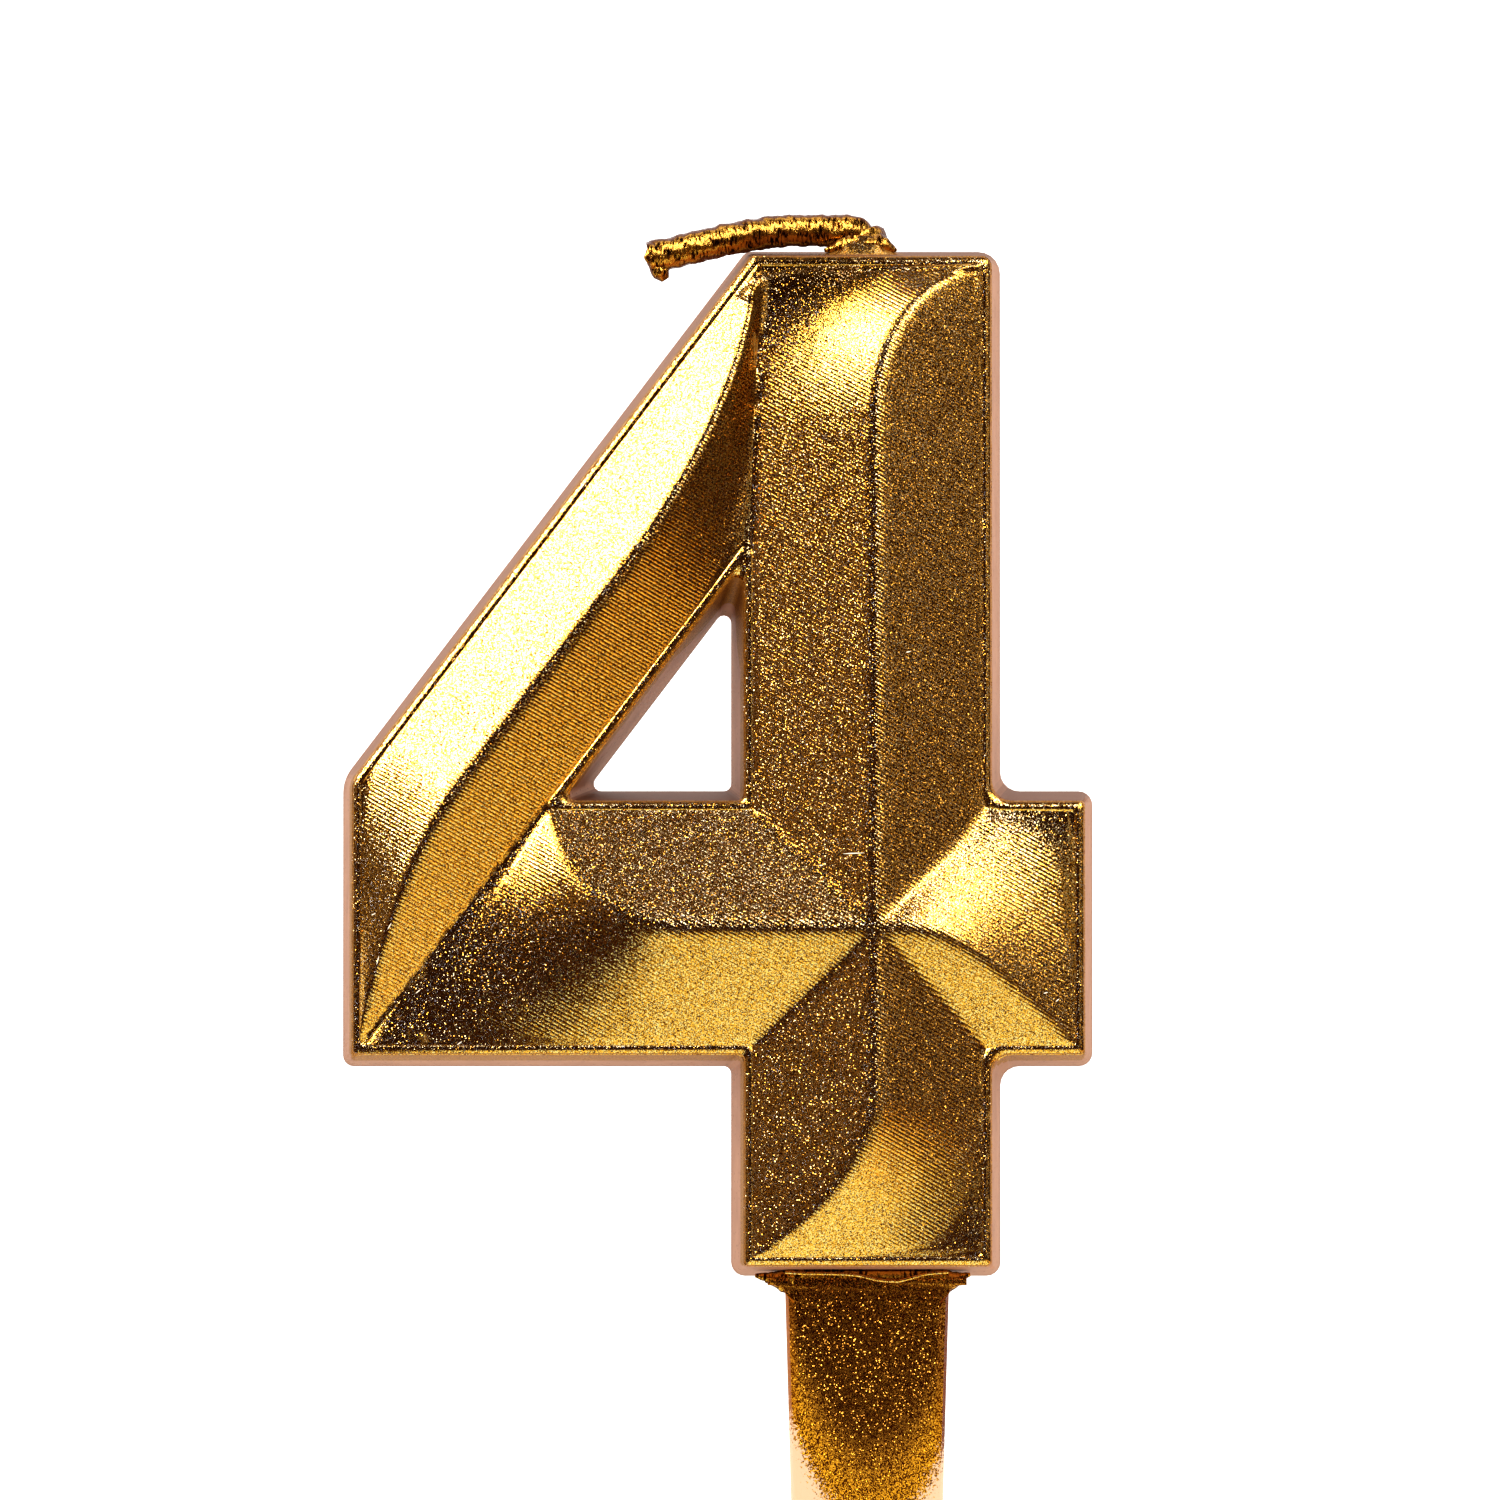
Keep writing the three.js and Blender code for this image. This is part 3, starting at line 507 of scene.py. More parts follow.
def metallised_wax(name, bare_walls):
    """Paraffin wax cast in a milled mould, its face vacuum-metallised under a yellow lacquer.

    The coat glints grain by grain over the fine slanting marks that the cutter left in the mould.
    Past the rim it thins to a dull overspray, and the drafted walls show the bare rose-tan wax
    with dark specks. Without bare walls the coat is closed all round.
    """
    material = new_material(name)
    place = add_node(material, "ShaderNodeTexCoord").outputs["Object"]
    axes = add_node(material, "ShaderNodeSeparateXYZ", {"Vector": place}).outputs
    geometry = add_node(material, "ShaderNodeNewGeometry").outputs
    facing = geometry["Normal"]
    metal, rough = 1.0, METAL_ROUGHNESS
    if bare_walls:
        lie = add_node(
            material, "ShaderNodeSeparateXYZ", {"Vector": geometry["True Normal"]},
        ).outputs
        coat = coat_mask(material, place, axes, lie)
        front = add_node(
            material, "ShaderNodeMapRange",
            {"Value": lie["Y"], "From Min": -0.40, "From Max": -0.60},
        )
        metal = add_node(
            material, "ShaderNodeMath", {0: coat, 1: front.outputs[0]}, operation="MULTIPLY",
        ).outputs[0]
        rough = add_node(
            material, "ShaderNodeMapRange",
            {"Value": metal, "To Min": WAX_ROUGHNESS, "To Max": METAL_ROUGHNESS},
        ).outputs[0]

    # Cutter marks: rounded strips with sharp grooves between, square to the direction of fall.
    fall = math.radians(MARK_FALL)
    across = (math.sin(fall) / (MARK_PITCH * MM), 0, math.cos(fall) / (MARK_PITCH * MM))
    strip = add_node(
        material, "ShaderNodeVectorMath", {0: place, 1: across}, operation="DOT_PRODUCT",
    )
    half_turns = add_node(
        material, "ShaderNodeMath", {0: strip.outputs["Value"], 1: math.pi}, operation="MULTIPLY",
    )
    wave = add_node(material, "ShaderNodeMath", {0: half_turns.outputs[0]}, operation="SINE")
    marks = add_node(material, "ShaderNodeMath", {0: wave.outputs[0]}, operation="ABSOLUTE")
    past_rim = add_node(
        material, "ShaderNodeMapRange",
        {"Value": axes["Y"], "From Min": MARKS_FROM_Y[0] * MM, "From Max": MARKS_FROM_Y[1] * MM},
    )
    marks = add_node(
        material, "ShaderNodeMath",
        {0: marks.outputs[0], 1: past_rim.outputs[0]}, operation="MULTIPLY",
    )

    # Grain of the coat: most grains lie nearly flat, some stand out and glint far from the mirror's
    # angle, and so do the flakes in the lacquer, of which the patch of painted shade has few.
    grain = add_node(material, "ShaderNodeTexVoronoi", {"Vector": place, "Scale": 1 / (GRAIN * MM)})
    tones = add_node(material, "ShaderNodeSeparateColor", {"Color": grain.outputs["Color"]}).outputs
    standing = add_node(
        material, "ShaderNodeMapRange",
        {"Value": tones["Green"], "From Min": STANDING_FROM[0], "From Max": STANDING_FROM[1],
         "To Min": FLAT_LEAN, "To Max": STANDING_LEAN},
    )
    tilted = leaning_normal(material, facing, grain, standing.outputs[0])
    spark = leaning_normal(material, facing, grain, FLAKE_LEAN)
    flake = add_node(
        material, "ShaderNodeMapRange",
        {"Value": tones["Red"], "From Min": FLAKE_FROM[0], "From Max": FLAKE_FROM[1],
         "To Min": FLAKE_LEAST, "To Max": 1.0},
    )
    flake = add_node(
        material, "ShaderNodeMath", {0: flake.outputs[0], 1: metal}, operation="MULTIPLY",
    )
    off_patch = add_node(
        material, "ShaderNodeVectorMath",
        {0: place, 1: tuple(MM * v for v in PAINTED_SHADE_PATCH)}, operation="SUBTRACT",
    )
    off_patch = add_node(
        material, "ShaderNodeVectorMath",
        {0: off_patch.outputs[0], 1: PAINTED_SHADE_STRETCH}, operation="MULTIPLY",
    )
    off_patch = add_node(
        material, "ShaderNodeVectorMath", {0: off_patch.outputs[0]}, operation="LENGTH",
    )
    # Painted shade: near the top of the stem fewer flakes glint and the gold turns darker.
    painted_shade = add_node(
        material, "ShaderNodeMapRange",
        {"Value": off_patch.outputs["Value"], "From Min": PAINTED_SHADE_RADII[0] * MM,
         "From Max": PAINTED_SHADE_RADII[1] * MM, "To Min": PAINTED_SHADE_FLAKES, "To Max": 1.0},
        interpolation_type="SMOOTHSTEP",
    )
    flake = add_node(
        material, "ShaderNodeMath", {0: flake.outputs[0], 1: painted_shade.outputs[0]}, operation="MULTIPLY",
    )
    shade = add_node(
        material, "ShaderNodeMapRange",
        {"Value": painted_shade.outputs[0], "To Min": PAINTED_SHADE_GOLD, "To Max": 1.0},
    )

    # Coat: some grains keep little metal and stay dark, most shine, and a few are paler.
    cover = add_node(
        material, "ShaderNodeMapRange",
        {"Value": tones["Blue"], "From Min": 0.12, "From Max": 0.48},
    )
    # In the patch of painted shade more grains take the dark colour.
    cover = add_node(
        material, "ShaderNodeMath",
        {0: cover.outputs[0], 1: shade.outputs[0]}, operation="MULTIPLY",
    )
    pale = add_node(
        material, "ShaderNodeMapRange", {"Value": tones["Red"], "From Min": 0.55, "From Max": 0.85},
    )
    gold = add_node(
        material, "ShaderNodeMix",
        {"Factor": pale.outputs[0], 6: srgb(GOLD), 7: srgb(PALE_GOLD)}, data_type="RGBA",
    )
    gold = add_node(
        material, "ShaderNodeMix",
        {"Factor": cover.outputs[0], 6: srgb(DARK_GRAIN), 7: gold.outputs[2]}, data_type="RGBA",
    )
    relief = add_node(
        material, "ShaderNodeBump",
        {"Height": marks.outputs[0], "Distance": MARK_DEPTH * MM, "Strength": 1.0,
         "Normal": tilted},
    )
    colour, normal = gold.outputs[2], relief.outputs[0]
    if bare_walls:
        wall = wall_colour(material, place, axes, lie, tones, coat)
        colour = add_node(
            material, "ShaderNodeMix", {"Factor": metal, 6: wall, 7: colour}, data_type="RGBA",
        ).outputs[2]
        normal = add_node(
            material, "ShaderNodeMix", {"Factor": metal, 4: facing, 5: normal}, data_type="VECTOR",
        ).outputs[1]
    shader = add_node(
        material, "ShaderNodeBsdfPrincipled",
        {"Base Color": colour, "Metallic": metal, "Roughness": rough, "Normal": normal,
         "Specular IOR Level": 0.15,
         "Coat Weight": flake.outputs[0], "Coat Roughness": LACQUER_ROUGHNESS,
         "Coat IOR": LACQUER_IOR, "Coat Normal": spark},
    )
    add_node(material, "ShaderNodeOutputMaterial", {"Surface": shader.outputs[0]})
    return material


def coated_cotton():
    """Braided cotton stiffened with wax under the same coat.

    The threads lie across the wick and glint in short dashes, with dark pits between them, painted
    shade in the low places of their relief. The wick's rim is painted dull and brown as shade where
    it turns away from the viewer, wherever it is seen from. The wax that climbs the wick and the
    pick's shoulder is as lumpy and dark, so it has this finish too.
    """
    material = new_material("coated_cotton")
    place = add_node(material, "ShaderNodeTexCoord").outputs["Object"]
    across = tuple(1 / (size * MM) for size in THREAD_SIZE)
    threads = add_node(
        material, "ShaderNodeVectorMath", {0: place, 1: across}, operation="MULTIPLY",
    )
    threads = add_node(
        material, "ShaderNodeTexNoise",
        {"Vector": threads.outputs[0], "Scale": 1.0, "Detail": 3.0, "Roughness": 0.6},
    )
    lumps = add_node(
        material, "ShaderNodeTexNoise",
        {"Vector": place, "Scale": 1 / (THREAD_LUMPS * MM), "Detail": 2.0, "Roughness": 0.6},
    )
    spread = add_node(
        material, "ShaderNodeMath",
        {0: lumps.outputs["Fac"], 1: 0.5, 2: threads.outputs["Fac"]}, operation="MULTIPLY_ADD",
    )
    # Painted shade: the low places of the threads' relief take the dark pit colour.
    cover = add_node(
        material, "ShaderNodeMapRange",
        {"Value": spread.outputs[0], "From Min": 0.64, "From Max": 0.78},
    )
    # Painted shade: where the wick turns away from view, its rim goes brown and loses its metal.
    rim_shade = add_node(material, "ShaderNodeLayerWeight", {"Blend": 0.5})
    rim_shade = add_node(
        material, "ShaderNodeMapRange",
        {"Value": rim_shade.outputs["Facing"], "From Min": 0.27, "From Max": 0.50},
    )
    colour = add_node(
        material, "ShaderNodeMix",
        {"Factor": cover.outputs[0], 6: srgb(THREAD_PIT_SHADE), 7: srgb(THREAD_GOLD)}, data_type="RGBA",
    )
    colour = add_node(
        material, "ShaderNodeMix",
        {"Factor": rim_shade.outputs[0], 6: colour.outputs[2], 7: srgb(THREAD_RIM_SHADE)}, data_type="RGBA",
    )
    shine = add_node(
        material, "ShaderNodeMapRange", {"Value": rim_shade.outputs[0], "To Min": 1.0, "To Max": 0.0},
    )
    relief = add_node(
        material, "ShaderNodeBump",
        {"Height": spread.outputs[0], "Distance": THREAD_DEPTH * MM, "Strength": 1.0},
    )
    shader = add_node(
        material, "ShaderNodeBsdfPrincipled",
        {"Base Color": colour.outputs[2], "Metallic": shine.outputs[0], "Roughness": 0.16,
         "Normal": relief.outputs[0], "Specular IOR Level": 0.2},
    )
    add_node(material, "ShaderNodeOutputMaterial", {"Surface": shader.outputs[0]})
    return material


def sprayed_polypropylene():
    """Moulded polypropylene, cream and a little clear, under the overspray of the coat.

    The coat is dark and glinting near the wax, thins to amber with light coming through, and ends
    in specks.
    """
    material = new_material("sprayed_polypropylene")
    place = add_node(material, "ShaderNodeTexCoord").outputs["Object"]
    axes = add_node(material, "ShaderNodeSeparateXYZ", {"Vector": place}).outputs
    aside = add_node(
        material, "ShaderNodeMath", {0: axes["X"], 1: COAT_MIDDLE * MM}, operation="SUBTRACT",
    )
    bow = add_node(material, "ShaderNodeMath", {0: aside.outputs[0], 1: 2.0}, operation="POWER")
    above = add_node(
        material, "ShaderNodeMath",
        {0: bow.outputs[0], 1: -COAT_CURVE / MM, 2: axes["Z"]}, operation="MULTIPLY_ADD",
    )

    # Specks: fine drops, sparse below the edge of the spray and closed above it.
    drops = add_node(
        material, "ShaderNodeTexNoise",
        {"Vector": place, "Scale": 1 / (DROP_SIZE * MM), "Detail": 3.0, "Roughness": 0.7},
    )
    reach = add_node(
        material, "ShaderNodeMapRange",
        {"Value": above.outputs[0], "From Min": (COAT_END + DROPS_REACH[0]) * MM,
         "From Max": (COAT_END + DROPS_REACH[1]) * MM, "To Min": 0.0, "To Max": 0.6},
    )
    spread = add_node(
        material, "ShaderNodeMath", {0: drops.outputs["Fac"], 1: reach.outputs[0]}, operation="ADD",
    )
    coat = add_node(
        material, "ShaderNodeMapRange",
        {"Value": spread.outputs[0], "From Min": 0.80, "From Max": 0.88},
    )

    # Grain: bright and dark specks side by side, some of them standing out to glint.
    grain = add_node(
        material, "ShaderNodeTexVoronoi", {"Vector": place, "Scale": 1 / (PICK_GRAIN * MM)},
    )
    tones = add_node(material, "ShaderNodeSeparateColor", {"Color": grain.outputs["Color"]}).outputs
    cover = add_node(
        material, "ShaderNodeMapRange",
        {"Value": tones["Blue"], "From Min": 0.35, "From Max": 0.75},
    )
    amber = add_node(
        material, "ShaderNodeMix",
        {"Factor": cover.outputs[0], 6: srgb(AMBER_DARK), 7: srgb(AMBER_LIGHT)}, data_type="RGBA",
    )
    metal = add_node(
        material, "ShaderNodeMix",
        {"Factor": cover.outputs[0], 6: srgb(PICK_METAL_DARK), 7: srgb(PICK_METAL_LIGHT)},
        data_type="RGBA",
    )
    thick = add_node(
        material, "ShaderNodeMapRange",
        {"Value": above.outputs[0], "From Min": (COAT_END + THICK_REACH[0]) * MM,
         "From Max": (COAT_END + THICK_REACH[1]) * MM},
        interpolation_type="SMOOTHSTEP",
    )
    film = add_node(
        material, "ShaderNodeMix",
        {"Factor": thick.outputs[0], 6: amber.outputs[2], 7: metal.outputs[2]}, data_type="RGBA",
    )

    # Rounded sides: the spray lies thin and dull there, with a painted highlight on the left and
    # painted shade on the right.
    geometry = add_node(material, "ShaderNodeNewGeometry").outputs
    facing = geometry["Normal"]
    turned = add_node(material, "ShaderNodeSeparateXYZ", {"Vector": facing}).outputs
    front = add_node(
        material, "ShaderNodeMapRange",
        {"Value": turned["Y"], "From Min": -0.80, "From Max": -0.97},
    ).outputs[0]
    # Painted light and shade: a lighter colour on the left side, a darker one on the right.
    right_side = add_node(
        material, "ShaderNodeMapRange", {"Value": turned["X"], "From Min": -0.2, "From Max": 0.2},
    )
    lit_and_shaded_sides = add_node(
        material, "ShaderNodeMix",
        {"Factor": right_side.outputs[0], 6: srgb(PICK_LIT_LEFT_SIDE), 7: srgb(PICK_SHADED_RIGHT_SIDE)},
        data_type="RGBA",
    )
    film = add_node(
        material, "ShaderNodeMix",
        {"Factor": front, 6: lit_and_shaded_sides.outputs[2], 7: film.outputs[2]}, data_type="RGBA",
    )
    colour = add_node(
        material, "ShaderNodeMix",
        {"Factor": coat.outputs[0], 6: srgb(PICK_CREAM), 7: film.outputs[2]}, data_type="RGBA",
    )
    shine = add_node(
        material, "ShaderNodeMapRange", {"Value": thick.outputs[0], "To Min": 0.25, "To Max": 0.9},
    )
    shine = add_node(
        material, "ShaderNodeMath", {0: shine.outputs[0], 1: coat.outputs[0]}, operation="MULTIPLY",
    )
    shine = add_node(
        material, "ShaderNodeMath", {0: shine.outputs[0], 1: front}, operation="MULTIPLY",
    )
    standing = add_node(
        material, "ShaderNodeMapRange",
        {"Value": tones["Green"], "From Min": 0.78, "From Max": 0.82,
         "To Min": PICK_FLAT_LEAN, "To Max": PICK_STANDING_LEAN},
    )
    tilted = leaning_normal(material, facing, grain, standing.outputs[0])
    normal = add_node(
        material, "ShaderNodeMix",
        {"Factor": coat.outputs[0], 4: facing, 5: tilted}, data_type="VECTOR",
    )
    shader = add_node(
        material, "ShaderNodeBsdfPrincipled",
        {"Base Color": colour.outputs[2], "Metallic": shine.outputs[0], "Roughness": 0.18,
         "Normal": normal.outputs[1], "Specular IOR Level": 0.05},
    )
    add_node(material, "ShaderNodeOutputMaterial", {"Surface": shader.outputs[0]})
    return material


def plain_finish(name, colour, roughness, specular):
    """A finish that is the same all over."""
    material = new_material(name)
    shader = add_node(
        material, "ShaderNodeBsdfPrincipled",
        {"Base Color": srgb(colour), "Roughness": roughness, "Specular IOR Level": specular},
    )
    add_node(material, "ShaderNodeOutputMaterial", {"Surface": shader.outputs[0]})
    return material


def add_piece(name, shape, material, slot, *nodes):
    """A mesh piece that rides on the candle, with its finish and the CAD nodes it stands for."""
    mesh = bpy.data.meshes.new(name)
    shape.to_mesh(mesh)
    shape.free()
    mesh.materials.append(material)
    piece = bpy.data.objects.new(name, mesh)
    bpy.context.scene.collection.objects.link(piece)
    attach(piece, BODY)
    if nodes:
        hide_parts(*nodes)


def joined_copy(node):
    """A CAD node's triangles with their shared corners joined, so that curves shade smoothly."""
    shape = bmesh.new()
    shape.from_mesh(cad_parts[node].data)
    bmesh.ops.remove_doubles(shape, verts=shape.verts, dist=JOIN_WITHIN * MM)
    bmesh.ops.recalc_face_normals(shape, faces=shape.faces)
    return shape


def soften(shape, break_at):
    """Smooth shading over every edge that turns by less than break_at says for its middle."""
    for face in shape.faces:
        face.smooth = True
    for edge in shape.edges:
        middle = (edge.verts[0].co + edge.verts[1].co) / 2
        edge.smooth = edge.is_manifold and edge.calc_face_angle() < math.radians(break_at(middle))


def cut_face(shape, faces, axis, places):
    """Cuts part of the face at each of the given places along one axis, the middle one first."""
    if not places or not faces:
        return
    middle = len(places) // 2
    across = Vector((0, 0, 0))
    across[axis] = 1
    edges = {edge for face in faces for edge in face.edges}
    corners = {corner for face in faces for corner in face.verts}
    cut = bmesh.ops.bisect_plane(
        shape, geom=[*faces, *edges, *corners], dist=CUT_WITHIN * MM,
        plane_co=across * places[middle], plane_no=across,
    )
    faces = [part for part in cut["geom"] if isinstance(part, bmesh.types.BMFace)]
    low = [face for face in faces if face.calc_center_median()[axis] < places[middle]]
    high = [face for face in faces if face.calc_center_median()[axis] >= places[middle]]
    cut_face(shape, low, axis, places[:middle])
    cut_face(shape, high, axis, places[middle + 1:])


def bead_places(shape):
    """A search tree of close points along the top of the rim's bead, laid flat on its plane."""
    def on_bead(corner):
        return abs(corner.co.y / MM - BEAD_TOP_Y) < BEAD_TOLERANCE

    places = []
    for edge in shape.edges:
        if all(on_bead(corner) for corner in edge.verts):
            start, end = (corner.co for corner in edge.verts)
            steps = max(1, round((end - start).length / (BEAD_SPACING * MM)))
            places += [start.lerp(end, i / steps) for i in range(steps + 1)]
    tree = kdtree.KDTree(len(places))
    for i, place in enumerate(places):
        tree.insert((place.x, 0, place.z), i)
    tree.balance()
    return tree


def off_line(place, line):
    """Distance on the face from a place to a straight line between two points, in millimetres."""
    start, end = (Vector((x, 0, z)) * MM for x, z in line)
    flat = Vector((place.x, 0, place.z))
    along = min(max((flat - start).dot(end - start) / (end - start).length_squared, 0), 1)
    return (flat - start.lerp(end, along)).length / MM


def corner_work(place):
    """How far the face sinks under the top rim and in the corner's groove, less its swelling."""
    groove = GROOVE_DEPTH * math.exp(-(off_line(place, CORNER_GROOVE) / GROOVE_WIDTH) ** 2)
    off_swelling = off_line(place, (CORNER_SWELLING, CORNER_GROOVE[0]))
    swelling = SWELLING_HEIGHT * math.exp(-(off_swelling / SWELLING_WIDTH) ** 2)
    dip = math.exp(-max(TOP_RIM_Z - place.z / MM, 0) / TOP_DIP_REACH)
    dip *= min(max((place.x / MM + 1) / 2, TOP_DIP_LEFT), 1)
    return groove - swelling + TOP_DIP * dip


def ease_creases(shape):
    """Rounds each ridge and valley of the face: a point takes the mean height round about it."""
    bead = bead_places(shape)
    solid = BVHTree.FromBMesh(shape)
    for axis in (0, 2):
        faces = [
            face for face in shape.faces
            if min(corner.co.y for corner in face.verts) < (BEAD_TOP_Y - FACE_CLEAR) * MM
        ]
        spots = [corner.co[axis] for face in faces for corner in face.verts]
        low, high = min(spots), max(spots)
        count = round((high - low) / (CELL * MM))
        cut_face(shape, faces, axis, [low + (high - low) * i / count for i in range(1, count)])

    forward = Vector((0, 1, 0))
    turns = [math.tau * i / EASE_TURNS for i in range(EASE_TURNS)]
    offsets = [
        Vector((math.cos(turn), 0, math.sin(turn))) * ring for ring in EASE_RINGS for turn in turns
    ]
    eased = []
    for corner in shape.verts:
        off_crisp = off_line(corner.co, CRISP_CREASE)
        sunk = corner.co.y > RIM_Y * MM
        if sunk and (corner.co.y > (RIM_Y + CRISP_SUNK) * MM or off_crisp > CRISP_SUNK_REACH):
            continue
        off_bead = bead.find((corner.co.x, 0, corner.co.z))[2] / MM - BEAD_HALF
        if off_bead < BEAD_CLEAR:
            continue
        crisp = off_crisp < CRISP_REACH
        reach = min(CRISP_ROUND if crisp else CREASE_ROUND, off_bead) * MM
        above = Vector((corner.co.x, OUTSIDE_Y * MM, corner.co.z))
        depths = [solid.ray_cast(above + offset * reach, forward)[0].y for offset in offsets]
        near_rim = min(off_bead / NEAR_RIM, 1)
        depth = sum(depths) / len(depths) + corner_work(corner.co) * near_rim * MM
        eased.append((corner, min(depth, CRISP_FLOOR * MM) if crisp else depth))
    for corner, depth in eased:
        corner.co.y = depth
    return bead


def lower_mound(shape):
    """Lets the wick's mound slope down to the top wall in front, as a dribble of wax does."""
    for corner in shape.verts:
        place = corner.co / MM
        out = math.hypot(place.x - MOUND_X, place.y) / MOUND_RADIUS
        if place.z > MOUND_FOOT - MOUND_SLACK and out < 1 + MOUND_SLACK:
            wall = WALL_FALL * (BACK_Y - place.y)
            corner.co.z -= (wall - MOUND_EDGE) * out * out * MM


def numeral():
    """The casting, with its ridges, valleys and rim rounded."""
    shape = joined_copy("numeral_body")
    bead = ease_creases(shape)
    lower_mound(shape)

    def break_at(place):
        if off_line(place, CRISP_CREASE) < CRISP_WIDTH:
            return CRISP_BREAK
        if abs(place.y / MM - RIM_Y) > RIM_BAND:
            return FACET_BREAK
        off_bead = bead.find((place.x, 0, place.z))[2] / MM
        return BEAD_BREAK if BEAD_FOOT[0] < off_bead < BEAD_FOOT[1] else RIM_BREAK

    soften(shape, break_at)
    return shape


def wick_line():
    """The wick's middle line from its foot in the wax to its drooping tip, in close points."""
    def curve(a, b, c, d, steps):
        for i in range(steps):
            t = i / steps
            s = 1 - t
            yield (s ** 3 * a[0] + 3 * s * s * t * b[0] + 3 * s * t * t * c[0] + t ** 3 * d[0],
                   s ** 3 * a[1] + 3 * s * s * t * b[1] + 3 * s * t * t * c[1] + t ** 3 * d[1])

    pull = BEND_PULL * WICK_BEND
    rises, bends, runs, droops = WICK_STEPS
    rise = [(0, WICK_FOOT + (WICK_BEND_Z - WICK_FOOT) * i / rises) for i in range(rises)]
    bend = curve(
        (0, WICK_BEND_Z), (0, WICK_BEND_Z + pull),
        (-WICK_BEND + pull, WICK_RUN_Z), (-WICK_BEND, WICK_RUN_Z), bends,
    )
    run = [
        (-WICK_BEND + (WICK_RUN_END + WICK_BEND) * i / runs, WICK_RUN_Z) for i in range(runs)
    ]
    droop = curve((WICK_RUN_END, WICK_RUN_Z), *WICK_DROOP, WICK_TIP, droops)
    return [Vector((x, 0, z)) * MM for x, z in [*rise, *bend, *run, *droop, WICK_TIP]]


def add_tube(shape, line, sides, reach):
    """A closed skin along a line.

    From a place on the line, the length so far and the angle round it, reach gives the radius.
    """
    ring = bmesh.ops.create_circle(shape, cap_ends=True, segments=sides, radius=MM)["verts"]
    cap = list(ring[0].link_faces)
    travelled = 0
    for i, place in enumerate(line):
        ahead = (line[min(i + 1, len(line) - 1)] - line[max(i - 1, 0)]).normalized()
        side = (Vector((0, 1, 0)) - ahead * ahead.y).normalized()
        up = ahead.cross(side)
        if i:
            travelled += (place - line[i - 1]).length / MM
            grown = bmesh.ops.extrude_face_region(shape, geom=cap)["geom"]
            # The first cap closes the tube's start. A later one would be left inside it.
            if i > 1:
                bmesh.ops.delete(shape, geom=cap, context="FACES_ONLY")
            cap = [part for part in grown if isinstance(part, bmesh.types.BMFace)]
            ring = list(cap[0].verts)
        for k, corner in enumerate(ring):
            angle = k / sides * math.tau
            out = side * math.cos(angle) + up * math.sin(angle)
            corner.co = place + out * reach(place / MM, travelled, angle) * MM


def finished(shape):
    """The shape with its skin facing out and smooth over all but its sharpest edges."""
    bmesh.ops.recalc_face_normals(shape, faces=shape.faces)
    soften(shape, lambda place: TUBE_BREAK)
    return shape


def braided_wick():
    """Three strands laid round each other along the wick's line, lumpy with wax and closed."""
    def lumps(travelled, angle, closeness, size, height):
        round_it = closeness * math.cos(angle), closeness * math.sin(angle)
        return height * noise.noise(Vector((*round_it, travelled / size)))

    def reach(place, travelled, angle):
        turn = travelled / WICK_LAY * math.tau
        lobe = abs(math.cos((angle - turn) * WICK_STRANDS / 2)) ** STRAND_ROUND
        free = min(max((place.z - FREE_FROM_Z) / FREE_RUN, FREE_FROM_X - place.x, 0), 1)
        radius = (BURIED_DIAMETER + (WICK_DIAMETER - BURIED_DIAMETER) * free) / 2
        wax = lumps(travelled, angle, *COARSE_LUMPS) + lumps(travelled, angle, *FINE_LUMPS)
        return radius * (BRAID_CORE + STRAND_SWELL * lobe + wax * free)

    shape = bmesh.new()
    add_tube(shape, wick_line(), WICK_SIDES, reach)
    return finished(shape)


def roughened(radii, run, grit, seed):
    """A radius that passes through the given ones along a tube of length run, lumpy with wax."""
    def reach(place, travelled, angle):
        spot = min(travelled / run, 1) * (len(radii) - 1)
        k = min(int(spot), len(radii) - 2)
        radius = radii[k] + (radii[k + 1] - radii[k]) * (spot - k)
        lump = noise.noise(Vector((math.cos(angle) + seed, math.sin(angle), travelled / ROD_LUMP)))
        return max(radius * (1 + grit * lump), ROD_THINNEST)
    return reach


def stretch(ends, steps):
    """Points in equal steps between the given ends, in metres."""
    places = []
    for start, end in zip(ends, ends[1:]):
        places += [
            Vector([a + (b - a) * i / steps for a, b in zip(start, end)]) * MM
            for i in range(steps)
        ]
    return [*places, Vector(ends[-1]) * MM]


def length(line):
    """How long a line of points is, in millimetres."""
    return sum((b - a).length for a, b in zip(line, line[1:])) / MM


def rough_rods(rods):
    """Rods of wax or thread: each has its middle line, its radii along it and how lumpy it is."""
    shape = bmesh.new()
    for number, (ends, radii, grit) in enumerate(rods):
        line = stretch(ends, ROD_STEPS)
        reach = roughened(radii, length(line), grit, number * ROD_SEED)
        add_tube(shape, line, ROD_SIDES, reach)
    return finished(shape)


def sliver(long):
    """The radius of a scratch of the given length, thin at both tips."""
    def reach(place, travelled, angle):
        at_tip = travelled < NICK_TIP_RUN or travelled > long * NICK_TIP_FROM
        return NICK_WIDTH / 2 * (NICK_TIP if at_tip else 1)
    return reach


def nicks(ground):
    """Slivers of pale wax showing through the coat, lying on the face."""
    shape = bmesh.new()
    forward = Vector((0, 1, 0))
    for x, z, long, slant in NICKS:
        slant = math.radians(slant)
        half = Vector((math.cos(slant), 0, math.sin(slant))) * long / 2
        spots = [Vector((x, OUTSIDE_Y, z)) + half * share for share in NICK_STATIONS]
        line = [ground.ray_cast(spot * MM, forward)[0] for spot in spots]
        add_tube(shape, line, NICK_SIDES, sliver(long))
    return finished(shape)


